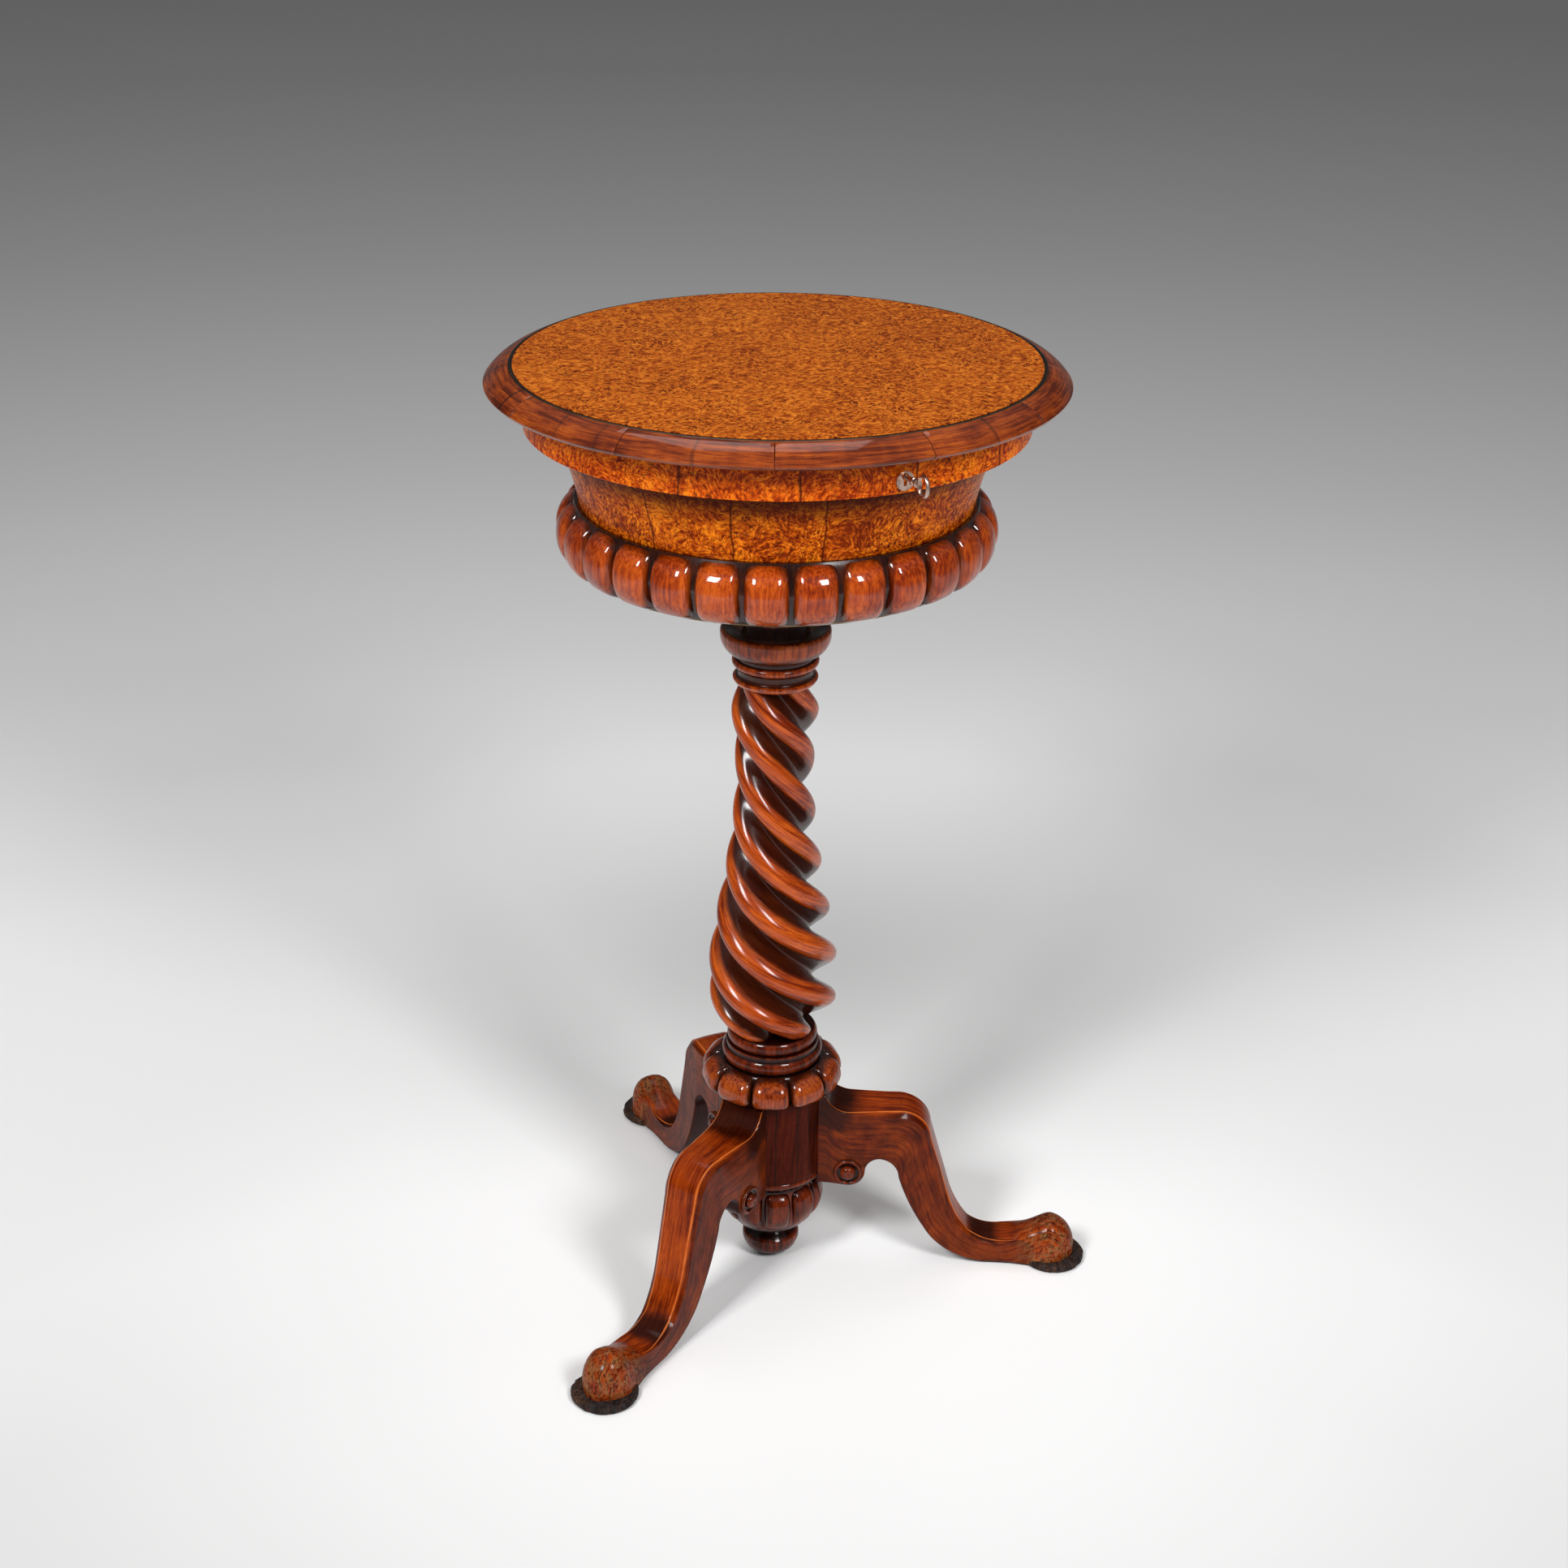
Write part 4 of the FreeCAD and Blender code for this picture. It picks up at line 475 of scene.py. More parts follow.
# %% [markdown]
# Round work is veneered in strips that butt together, and each joint shows as a thin dark
# upright line. The hub shows the same lines where its staves meet. The lines could be cut
# into the mesh, but they are only a hair wide. This group works out the angle round
# the column axis, finds the nearest joint and gives a mask, wavering a little. It also
# gives a number for each strip, so that neighbouring strips differ in tone.
# %% Group for upright joints
joint_lines, entry, leave = effect_group(
    "joint_lines",
    [("Vector", "vector"), ("Count", "value"), ("First", "value"), ("Width", "value"),
     ("Least", "value")],
    [("Line", "value"), ("Strip", "value")])
about = split(vectors("SUBTRACT", entry["Vector"], (0.0, AXIS_Y, 0.0))[0])
angle = calc("ARCTAN2", about[1], about[0])
share = divide(angle, 2 * math.pi)
share = plus(share, entry["First"])
waver = noise_at(entry["Vector"], 60.0, 3.0)
share = plus(share, times(waver, 0.006))
place = times(share, entry["Count"])
strip = calc("FLOOR", place)
inside = minus(place, strip)
near_edge = calc("MINIMUM", inside, minus(1.0, inside))
away = divide(near_edge, entry["Width"])
line = ease_in(away, 0.5, 1.3, 1.0, 0.0)
spot = plus(calc("ROUND", place), 0.5)
nearest = put(joint_lines, "ShaderNodeTexWhiteNoise", {"W": spot}, noise_dimensions="1D")
strength = most(ease_in(nearest.outputs["Value"], 0.45, 0.9), entry["Least"])
line = times(line, strength)
random_strip = put(joint_lines, "ShaderNodeTexWhiteNoise", {"W": strip}, noise_dimensions="1D")
feed(leave, {"Line": line, "Strip": random_strip.outputs["Value"]})
print("joint line nodes", len(joint_lines.nodes))

# %% [markdown]
# Brass, bronzed steel and plain steel all tarnish: the metal goes brown in blotches, and
# handled spots stay brighter and smoother. One group serves all three metals, with its
# own bright and tarnished colours for each.
# %% Group for tarnish
tarnish, entry, leave = effect_group(
    "tarnish",
    [("Vector", "vector"), ("Bright", "colour"), ("Dull", "colour"), ("Amount", "value")],
    [("Colour", "colour"), ("Roughness", "value"), ("Height", "value")])
broad = noise_at(entry["Vector"], 120.0, 5.0, 0.65)
grit = noise_at(entry["Vector"], 1300.0, 3.0)
cover = plus(broad, minus(entry["Amount"], 0.5))
cover = ease_in(cover, 0.35, 0.7)
cover = most(cover, ease_in(grit, 0.62, 0.7))
feed(leave, {"Colour": blend_in(cover, entry["Bright"], entry["Dull"]),
             "Roughness": ease_in(cover, 0.0, 1.0, 0.24, 0.55), "Height": plus(broad, grit)})
print("tarnish nodes", len(tarnish.nodes))

# %% [markdown]
# Now the materials themselves. Each one is a Principled shader whose colour, roughness
# and bump come from the groups. The gloss of the polish is a clear coat over the wood.
# Its weight and roughness don't vary within one material, so they are typed on the shader.
# Made pieces read their own grain attribute, and plain boards read object coordinates.
# %% Shell of a material and the woods with long grain
FINISH = {}
BLACK_GLUE = (0.012, 0.005, 0.003)


def start_material(title, coat=0.0, metal=0.0, coat_rough=0.05, glint=0.5):
    """Adds an empty material to the finishes and returns its tree and its shader's inputs."""
    made = bpy.data.materials.new(title)
    made.use_nodes = True
    FINISH[title] = made
    inputs = made.node_tree.nodes["Principled BSDF"].inputs
    feed(inputs, {"Metallic": metal, "Coat Weight": coat, "Coat Roughness": coat_rough,
                  "Specular IOR Level": glint})
    return made.node_tree, inputs


def solid(colour, darker=(1, 1, 1)):
    """A colour with full alpha, made darker where asked."""
    return (*(part * share for part, share in zip(colour, darker)), 1)


def mark(tree, title, output="Fac"):
    """One of the mesh's own values."""
    return put(tree, "ShaderNodeAttribute", attribute_name=title).outputs[output]


def bump(tree, inputs, height, strength, distance):
    """A fine height on the shader's normal."""
    feed(inputs, {"Normal": put(tree, "ShaderNodeBump", {
        "Height": height, "Strength": strength, "Distance": distance}).outputs[0]})


def place_of(tree, reads):
    """Where a pattern is read: the grain attribute or object coordinates."""
    if reads == "object":
        return here(tree)
    grain = mark(tree, "grain", "Vector")
    shift = stretch(mark(tree, "piece", "Vector"), (1.7, 2.3, 0.9))
    return vectors("ADD", grain, shift)[0]


def polish_over(tree, inputs, vector, wood, height, grime_and_shade, worn, shine, share=0.35,
                strength=0.35, depth=0.00025):
    """Lays old polish over a wood colour and feeds the shader."""
    layer = use(tree, old_polish, {
        "Vector": vector, "Wood": wood, "Grime and shade": grime_and_shade, "Worn": solid(worn),
        "Hollow": mark(tree, "hollow"), "Edge": mark(tree, "edge"),
        "Scuff": mark(tree, "scuff"), "Shine": shine})
    feed(inputs, {"Base Color": layer["Colour"], "Roughness": layer["Roughness"]})
    bump(tree, inputs, plus(times(height, share), layer["Height"]), strength, depth)


def with_grain(tree, vector, pale, mid, deep, width):
    """The long grain group in a material."""
    return use(tree, long_grain, {
        "Vector": vector, "Pale": solid(pale), "Mid": solid(mid), "Deep": solid(deep),
        "Streak width": width})


def with_joints(tree, vector, joints):
    """The upright joints group in a material."""
    values = dict(zip(("Count", "First", "Width", "Least"), joints))
    return use(tree, joint_lines, {"Vector": vector, **values})


def grained_wood(title, pale, mid, deep, worn, reads="grain", width=0.004, shine=0.24,
                 coat=0.3, coat_rough=0.08, joints=None):
    """Polished wood with long grain, and joints where it is made of staves."""
    tree, inputs = start_material(title, coat, coat_rough=coat_rough, glint=0.03)
    vector = place_of(tree, reads)
    wood = with_grain(tree, vector, pale, mid, deep, width)
    colour = wood["Colour"]
    if joints:
        lines = with_joints(tree, here(tree), joints)
        colour = blend_in(times(lines["Line"], 0.85), colour, solid(BLACK_GLUE))
    polish_over(tree, inputs, vector, colour, wood["Height"], solid(deep, (0.16, 0.2, 0.4)),
                worn, shine)


grained_wood("pillar_walnut", (0.60, 0.108, 0.009), (0.36, 0.047, 0.003), (0.13, 0.011, 0.001),
             (0.62, 0.15, 0.04), width=0.003, coat=0.8, coat_rough=0.17)
grained_wood("leg_walnut", (0.40, 0.060, 0.004), (0.25, 0.030, 0.002), (0.10, 0.009, 0.001),
             (0.70, 0.17, 0.03), width=0.0028, coat=0.22, coat_rough=0.10)
grained_wood("board_walnut", (0.36, 0.12, 0.04), (0.24, 0.07, 0.02), (0.10, 0.025, 0.008),
             (0.42, 0.20, 0.09), reads="object", width=0.005, shine=0.3)
grained_wood("carved_walnut", (0.54, 0.092, 0.007), (0.36, 0.046, 0.003), (0.18, 0.016, 0.001),
             (0.60, 0.16, 0.04), width=0.0022, shine=0.34, coat=1.0)
grained_wood("collar_walnut", (0.40, 0.075, 0.008), (0.25, 0.034, 0.004), (0.10, 0.010, 0.001),
             (0.55, 0.14, 0.03), width=0.0025, shine=0.34, coat=0.8, coat_rough=0.10)
grained_wood("hub_walnut", (0.080, 0.0090, 0.002), (0.052, 0.0050, 0.001),
             (0.020, 0.0018, 0.0004), (0.12, 0.02, 0.006), coat=0.06,
             joints=(15.0, 0.31, 0.035, 1.0))
grained_wood("drop_walnut", (0.21, 0.028, 0.004), (0.115, 0.013, 0.002), (0.036, 0.004, 0.001),
             (0.30, 0.07, 0.02), coat=0.5, coat_rough=0.10)
# A near-black copy of the walnut for the cores between lobes: painted shade in the grooves.
grained_wood("groove_shade_walnut", (0.055, 0.012, 0.005), (0.028, 0.006, 0.003),
             (0.012, 0.003, 0.002), (0.10, 0.03, 0.012), coat=1.0, coat_rough=0.12)
print("long-grained finishes", sorted(FINISH))

# %% [markdown]
# The lid, the frieze and the flared waist are veneered with burr. The lid is a warm
# orange-brown with plenty of dark squiggles. The sides are a brighter amber, in upright
# strips with hair-thin dark joints. The moulded rim is crossbanded: short strips whose
# grain runs over the moulding rather than along it.
# %% Burr veneers, crossband and stringing


def burr_wood(title, pale, mid, deep, fleck, grain, clouds, flecks, worn, joints=None,
              shade=None, coat=0.1):
    """Polished burr veneer, with strip joints and the shade under a ledge where given."""
    tree, inputs = start_material(title, coat, glint=0.02)
    vector = reading = here(tree)
    if joints:
        lines = with_joints(tree, vector, joints)
        jump = joined(lines["Strip"], lines["Strip"], 0.0)
        reading = vectors("ADD", vector, stretch(jump, (0.9, 0.7, 0.0)))[0]
    figure = use(tree, burr_figure, {
        "Vector": reading, "Pale": solid(pale), "Mid": solid(mid), "Deep": solid(deep),
        "Fleck": solid(fleck), "Grain size": grain, "Cloud amount": clouds,
        "Fleck amount": flecks})
    colour = figure["Colour"]
    if joints:
        colour = blend_in(times(lines["Line"], 0.8), colour, solid(fleck))
    # Painted shade: the colour darkens towards the top of the waist and of the frieze, under the
    # ledge that overhangs it.
    if shade:
        low, high, amount = shade
        under = ease_in(split(vector)[2], low, high)
        colour = blend_in(times(under, amount), colour, solid(fleck))
    polish_over(tree, inputs, vector, colour, figure["Height"], solid(fleck, (0.6, 0.6, 1)),
                worn, 0.2)


burr_wood("burr_top", (0.70, 0.20, 0.018), (0.48, 0.105, 0.008), (0.24, 0.036, 0.003),
          (0.075, 0.008, 0.001), 0.0034, 0.12, 1.0, (0.6, 0.25, 0.08))
burr_wood("burr_waist", (0.92, 0.25, 0.008), (0.54, 0.088, 0.003), (0.20, 0.020, 0.001),
          (0.045, 0.004, 0.0005), 0.0026, 0.3, 0.9, (0.8, 0.3, 0.04),
          joints=(15.0, 0.4222, 0.012, 0.0), shade=(0.704, 0.729, 0.93), coat=0.07)
burr_wood("burr_frieze", (1.0, 0.25, 0.008), (0.68, 0.098, 0.003), (0.28, 0.024, 0.001),
          (0.045, 0.004, 0.0005), 0.0026, 0.3, 0.9, (0.8, 0.3, 0.04),
          joints=(14.0, 0.31, 0.012, 0.0), shade=(0.754, 0.765, 0.8), coat=0.12)
grained_wood("crossband", (0.38, 0.074, 0.006), (0.22, 0.033, 0.003), (0.08, 0.009, 0.001),
             (0.50, 0.17, 0.06), width=0.0028, shine=0.36, coat=0.7, coat_rough=0.05,
             joints=(36.0, 0.0055, 0.035, 0.0))
grained_wood("stringing", (0.030, 0.014, 0.008), (0.014, 0.007, 0.004), (0.006, 0.003, 0.002),
             (0.20, 0.10, 0.05), width=0.003, shine=0.25, coat=0.6)
print("finishes so far", len(FINISH))

# %% [markdown]
# Inside the box the timber was never polished, and the pads under the feet have been
# kicked and mopped until they are grey. Then come the metals and the clear glass of the
# mixing bowls. Dry wood is the same long grain with no coat and more roughness.
# %% Dry timber, metals and glass


def dry_wood(title, pale, mid, deep, reads, rough, glint=0.4):
    """Unpolished timber: long grain, no coat, a rougher surface."""
    tree, inputs = start_material(title, glint=glint)
    vector = place_of(tree, reads)
    wood = with_grain(tree, vector, pale, mid, deep, 0.005)
    polish_over(tree, inputs, vector, wood["Colour"], wood["Height"],
                solid(deep, (0.4, 0.4, 0.4)), pale, rough, 1.0, 0.5, 0.0004)


def old_metal(title, bright, dull, amount):
    """Metal under a patchy skin of tarnish."""
    tree, inputs = start_material(title, metal=1.0)
    skin = use(tree, tarnish, {
        "Vector": here(tree), "Bright": solid(bright), "Dull": solid(dull), "Amount": amount})
    feed(inputs, {"Base Color": skin["Colour"], "Roughness": skin["Roughness"]})
    bump(tree, inputs, skin["Height"], 0.25, 0.0002)


dry_wood("carcass_timber", (0.52, 0.34, 0.19), (0.42, 0.26, 0.13), (0.26, 0.14, 0.06),
         "object", 0.6)
dry_wood("toe_timber", (0.10, 0.045, 0.024), (0.030, 0.013, 0.008), (0.009, 0.005, 0.004),
         "grain", 0.4, 0.15)
old_metal("brass", (0.74, 0.53, 0.22), (0.34, 0.20, 0.08), 0.45)
old_metal("key_metal", (0.62, 0.44, 0.36), (0.26, 0.17, 0.13), 0.42)
old_metal("steel", (0.55, 0.54, 0.52), (0.22, 0.18, 0.15), 0.4)

glass_tree, glass_inputs = start_material("bowl_glass")
haze = noise_at(here(glass_tree), 70.0)
feed(glass_inputs, {
    "Base Color": (0.94, 0.97, 0.97, 1), "Transmission Weight": 0.95, "IOR": 1.5,
    "Roughness": ease_in(haze, 0.35, 0.75, 0.02, 0.10)})
print("all finishes", len(FINISH))

# %% [markdown]
# Two jobs on this object follow a rule, and Geometry Nodes do both. The first is repeating
# a carved lobe or a strip evenly round an axis, as a carver steps round with dividers.
# An Array modifier could do it, but the tree also gives each copy its own random number,
# which shifts the grain so that no two are alike. The tree ends by making the copies real
# and setting the material; the result is read back as a plain mesh.
# %% Node tree that repeats a shape round an axis


def new_tree(title, inputs):
    """A geometry tree with a Geometry input and output and other named inputs."""
    tree = bpy.data.node_groups.new(title, "GeometryNodeTree")
    tree.interface.new_socket("Geometry", in_out="INPUT", socket_type="NodeSocketGeometry")
    for name, kind in inputs:
        tree.interface.new_socket(name, in_out="INPUT", socket_type="NodeSocket" + kind)
    tree.interface.new_socket("Geometry", in_out="OUTPUT", socket_type="NodeSocketGeometry")
    entry = tree.nodes.new("NodeGroupInput").outputs
    leave = tree.nodes.new("NodeGroupOutput").inputs
    return tree, entry, leave


def make_real(tree, last, entry, leave):
    """Ends a tree: real copies, with the material set."""
    real = put(tree, "GeometryNodeRealizeInstances", {"Geometry": last.outputs[0]})
    painted = put(tree, "GeometryNodeSetMaterial", {
        "Geometry": real.outputs[0], "Material": entry["Finish"]})
    feed(leave, {"Geometry": painted.outputs[0]})


def run_tree(piece, tree, values):
    """Runs a tree about the column, keeps the result as a plain mesh, drops the modifier."""
    values = {"Centre": (0.0, AXIS_Y, 0.0), **values}
    worker = piece.modifiers.new(tree.name, "NODES")
    worker.node_group = tree
    for socket in tree.interface.items_tree:
        if socket.item_type == "SOCKET" and socket.in_out == "INPUT" and socket.name in values:
            worker[socket.identifier] = values[socket.name]
    bpy.context.view_layer.update()
    graph = bpy.context.evaluated_depsgraph_get()
    before = piece.data
    shape = bpy.data.meshes.new_from_object(
        piece.evaluated_get(graph), preserve_all_data_layers=True, depsgraph=graph)
    piece.modifiers.remove(worker)
    piece.data = shape
    shape.name = before.name
    bpy.data.meshes.remove(before)


def copy_round(piece, count, turn, seed, finish):
    """Lays copies of a piece evenly round the column, the first turned by some degrees."""
    run_tree(piece, repeat_round, {
        "Count": count, "Turn": math.radians(turn), "Seed": seed, "Finish": FINISH[finish]})


repeat_round, entry, leave = new_tree("repeat_round", [
    ("Count", "Int"), ("Turn", "Float"), ("Centre", "Vector"), ("Seed", "Int"),
    ("Finish", "Material")])
dots = put(repeat_round, "GeometryNodePoints", {
    "Count": entry["Count"], "Position": entry["Centre"]})
number = put(repeat_round, "GeometryNodeInputIndex").outputs[0]
facing = plus(times(number, divide(2 * math.pi, entry["Count"])), entry["Turn"])
spin = put(repeat_round, "FunctionNodeAxisAngleToRotation", {"Axis": (0, 0, 1), "Angle": facing})
copies = put(repeat_round, "GeometryNodeInstanceOnPoints", {
    "Points": dots.outputs[0], "Instance": entry["Geometry"], "Rotation": spin.outputs[0]})
chance = put(repeat_round, "FunctionNodeRandomValue", {"Seed": entry["Seed"], "ID": number},
             data_type="FLOAT")
label = put(repeat_round, "GeometryNodeStoreNamedAttribute", {
    "Geometry": copies.outputs[0], "Name": "piece", "Value": chance.outputs[1]},
    domain="INSTANCE", data_type="FLOAT")
make_real(repeat_round, label, entry, leave)
print("repeat tree nodes", len(repeat_round.nodes))

# %% [markdown]
# Every finished piece is dressed in the same three steps: it gets its material, it rides
# on the body that carries it, and it takes the place of the solid underneath. One helper
# keeps these steps together, and a second one turns a profile first, since most pieces
# are turned.
# %% Helper that finishes a piece


def dress(piece, body, finish, slot, *stands_for):
    """Material, body and the solids that the piece stands for; slot is not used."""
    piece.data.materials.clear()
    piece.data.materials.append(FINISH[finish])
    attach(piece, body)
    if stands_for:
        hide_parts(*stands_for)
    print(piece.name, "faces", len(piece.data.polygons))


def turn_and_dress(name, outline, finish, slot, node, ease=None, body="stand", **settings):
    """A turned piece with eased corners where asked, dressed in one go."""
    piece = turned(name, eased(outline, ease) if ease else outline, **settings)
    dress(piece, body, finish, slot, node)


# %% [markdown]
# The shaft is the showpiece: four ropes twisted left-handed round a vase-shaped column.
# A turner first makes the round blank with its full belly and narrow waist. Then the four
# spirals are marked out and the hollows between them carved and filed. The code goes
# the same way. The blank is turned from a rule for its radius, and a node tree carves it:
# it finds how far across its rope each point is, sinks it by that, and turns it
# in step with its height. The tree also stores how deep the point lies, which darkens the
# grooves as painted shade and dirt.
# %% Node tree that carves a four-rope twist
carve_twist, entry, leave = new_tree("carve_twist", [
    ("Centre", "Vector"), ("Strands", "Float"), ("Foot", "Float"), ("Lead", "Float"),
    ("First turn", "Float"), ("Hollow share", "Float"), ("Rope half", "Float"),
    ("Rope turn", "Float"), ("Finish", "Material")])
where = put(carve_twist, "GeometryNodeInputPosition").outputs[0]
arm = split(vectors("SUBTRACT", where, entry["Centre"])[0])
height = arm[2]
angle = calc("ARCTAN2", arm[1], arm[0])
radius = vectors("LENGTH", joined(arm[0], arm[1]))[1]
share = divide(times(angle, entry["Strands"]), 2 * math.pi)
inside = minus(share, calc("ROUND", share))
across = times(calc("ABSOLUTE", inside), 2.0)
turn_share = divide(entry["Rope turn"], entry["Rope half"])
edge_height = calc("SQRT", minus(1.0, raised(turn_share, 2.0)))
back_share = divide(across, entry["Rope half"])
back = calc("SQRT", minus(1.0, raised(back_share, 2.0), clamp=True))
room = minus(1.0, entry["Rope turn"])
fall = divide(turn_share, entry["Rope half"])
power = divide(times(fall, room), raised(edge_height, 2.0))
left_over = divide(minus(1.0, across), room)
dip = times(edge_height, raised(left_over, power))
on_back = calc("LESS_THAN", across, entry["Rope turn"])
lift = plus(times(back, on_back), times(dip, minus(1.0, on_back)))
kept = plus(entry["Hollow share"], times(lift, minus(1.0, entry["Hollow share"])))
reach = times(radius, kept)
climb = divide(minus(height, entry["Foot"]), entry["Lead"])
heading = plus(minus(entry["First turn"], times(climb, 2 * math.pi)), angle)
moved = joined(times(reach, calc("COSINE", heading)), times(reach, calc("SINE", heading)), height)
# Painted shade and dirt: the deeper a point lies in a groove, the more the finish darkens it.
depth = put(carve_twist, "GeometryNodeStoreNamedAttribute", {
    "Geometry": entry["Geometry"], "Name": "hollow", "Value": times(minus(1.0, lift), 1.7)},
    domain="POINT", data_type="FLOAT")
carved = put(carve_twist, "GeometryNodeSetPosition", {
    "Geometry": depth.outputs[0], "Position": vectors("ADD", moved, entry["Centre"])[0]})
make_real(carve_twist, carved, entry, leave)
print("twist tree nodes", len(carve_twist.nodes))

# %% Turn the blank and carve it
SHAFT_LOW = 218.5
SHAFT_HIGH = 528.5
BELLY = 262
CREST = [(SHAFT_LOW, 30.5), (BELLY, 53.5), (455, 31.2), (500, 34.2), (SHAFT_HIGH, 30)]


def crest_radius(height):
    """Radius over the ropes: full at the belly, drawn in at the waist and the ends."""
    for (low, low_r), (high, high_r) in zip(CREST, CREST[1:]):
        if height <= high + 0.001:
            share = held((height - low) / (high - low))
            if low == SHAFT_LOW:
                rise = math.sin(share * math.pi / 2) ** 0.7
            else:
                share = share ** 0.85 if low == BELLY else share
                rise = (1 - math.cos(share * math.pi)) / 2
            return low_r + (high_r - low_r) * rise
    return CREST[-1][1]


ROWS = 230
levels = [SHAFT_LOW + (SHAFT_HIGH - SHAFT_LOW) * ((row / ROWS) ** 1.15) for row in range(ROWS + 1)]
blank = [(0.0, SHAFT_LOW), *((crest_radius(level), level) for level in levels), (0.0, SHAFT_HIGH)]
shaft = turned("pillar_shaft", blank, steps=176, sharp=60)
run_tree(shaft, carve_twist, {
    "Strands": 4.0, "Foot": SHAFT_LOW * MM, "Lead": 172 * MM,
    "First turn": math.radians(29), "Hollow share": 0.59, "Rope half": 0.7,
    "Rope turn": 0.6, "Finish": FINISH["pillar_walnut"]})
shaft.data.shade_smooth()
dress(shaft, "stand", "pillar_walnut", "walnut", "pillar")

# %% [markdown]
# Above and below the twist the column is plain turning. The foot has a fat ring, a bead
# and a neck ring; the head has a cup with a hollow top that carries the box on its neck.
# Both are profiles spun round the axis, with true arcs where the solid has short steps.
# %% Foot and head of the column
foot_line = [
    (20, 193), *arc((38.5, 193.5), (38.5, 205), 2.8, 12), (38, 205), (38, 209),
    *arc((34.5, 209), (34.5, 220), 2.5, 12), (20, 220)]
turn_and_dress("pillar_foot", foot_line, "drop_walnut", "walnut", "pillar", 0.5)

head_line = [
    (20, 527), (31.6, 527), (33.2, 529.5), (33.2, 531), (29.5, 532.5),
    *bow((29.5, 532.5), (30.75, 540.5), -1.1, 8)[1:],
    *bow((30.75, 540.5), (30.75, 547), 3.25, 10), (30.75, 547), (30.5, 547),
    *arc((30.5, 550), (43, 567), 4, 14), *bow((43, 567), (40, 572), 1.2, 5)[1:],
    (40, 572), (27, 566), *arc((23, 576), (34, 606), -4.5, 14), (20, 606)]
turn_and_dress("pillar_head", head_line, "pillar_walnut", "walnut", "pillar", 0.5)

# %% [markdown]
# Three rings on this teapoy are carved with gadroons, rows of fat upright lobes: a big one
# under the waist of the box, a collar at the foot of the column and the drop under the
# hub. Each is a turned core with one lobe repeated round it. The lobe is a small barrel
# with rounded ends, a little square across, so that a strip of the core shows between
# two of them; the cores of the big ring and the collar are coloured near-black, as painted
# shade in the grooves. Modelling every lobe would be the same work many times, so the
# repeat tree copies one. The lobe's own marks darken it towards its sides and ends, as
# painted shade. Its sizes are: how far out it reaches, the height of its middle, its depth,
# half its own height, how many go round, how wide its ends stay and how plump it is between them.
# %% Carved lobes and the turned cores behind them
LOBE_ROWS = 28
LOBE_COLUMNS = 40
LOBE_SHARE = 0.985       # of its share of the circle, so that two neighbours nearly touch
SQUARE = 0.55            # power that makes the lobe squarer across than a circle
BACK = 0.08              # how far the back of a lobe bulges into the core


def carved_lobe(name, out, mid, deep, half, count, end, plump, lean):
    """One pillow-shaped lobe about the origin axis that fills its share of the circle."""
    centre = out - deep
    share_of_ring = math.tan(math.pi / count) * LOBE_SHARE
    points = []
    hollow = []
    for row in range(LOBE_ROWS + 1):
        share = -math.cos(math.pi * row / LOBE_ROWS)
        bulge = (1 - abs(share) ** plump) ** (1 / plump)
        girth = end + (1 - end) * (1 - abs(share) ** 4) ** 0.25
        girth = girth if 0 < row < LOBE_ROWS else 0.0
        for column in range(LOBE_COLUMNS):
            angle = 2 * math.pi * column / LOBE_COLUMNS
            c, s = math.cos(angle), math.sin(angle)
            outward = c ** 0.9 if c > 0 else BACK * c
            x = centre + lean * share + deep * bulge * outward
            y = x * share_of_ring * girth * math.copysign(abs(s) ** SQUARE, s)
            points.append((x * MM, y * MM, (mid + half * share) * MM))
            # Painted shade: the lobe darkens towards its sides, where it turns into the grooves,
            # and towards its ends.
            sides = (abs(s) ** SQUARE) ** 3.5 if c > 0 else 1.0
            ends = abs(share) ** 5
            hollow.append(min(sides * 0.8 + 0.7 * ends, 1.0))
    faces = grid_faces(LOBE_ROWS + 1, LOBE_COLUMNS, round_columns=False)
    return mesh_piece(name, points, faces, {"hollow": hollow}, sharp=70)


def ring_of_lobes(name, sizes, turn, finish, node, lean=0.0):
    """Repeats one lobe, sized by out, mid, deep, half, count, end and plump, in a ring."""
    lobe = carved_lobe(name, *sizes, lean)
    copy_round(lobe, sizes[4], turn, 7, finish)
    dress(lobe, "stand", finish, "walnut_dark", node)


ring_of_lobes("gadroon_lobes", (166.5, 653.1, 20.5, 23.7, 28, 0.5, 2.1), -4.3,
              "carved_walnut", "gadroon_ring")
ring_core = [(147.2, 630), *arc((149.5, 630), (158.3, 653), 1.2, 6),
             *arc((158.3, 653), (152, 677), 1.2, 6)[1:], (147.2, 677)]
turn_and_dress("gadroon_core", ring_core, "groove_shade_walnut", "walnut_dark", "gadroon_ring")

ring_of_lobes("collar_lobes", (57.5, 181, 14.0, 12.4, 10, 0.5, 2.2), -10.5,
              "collar_walnut", "gadroon_collar", lean=-2.5)
collar_core = [(20.2, 168), (43, 168), (48, 181), (43, 193.5), (20.2, 193.5)]
turn_and_dress("collar_core", collar_core, "groove_shade_walnut", "walnut_dark", "gadroon_collar", 1.5)

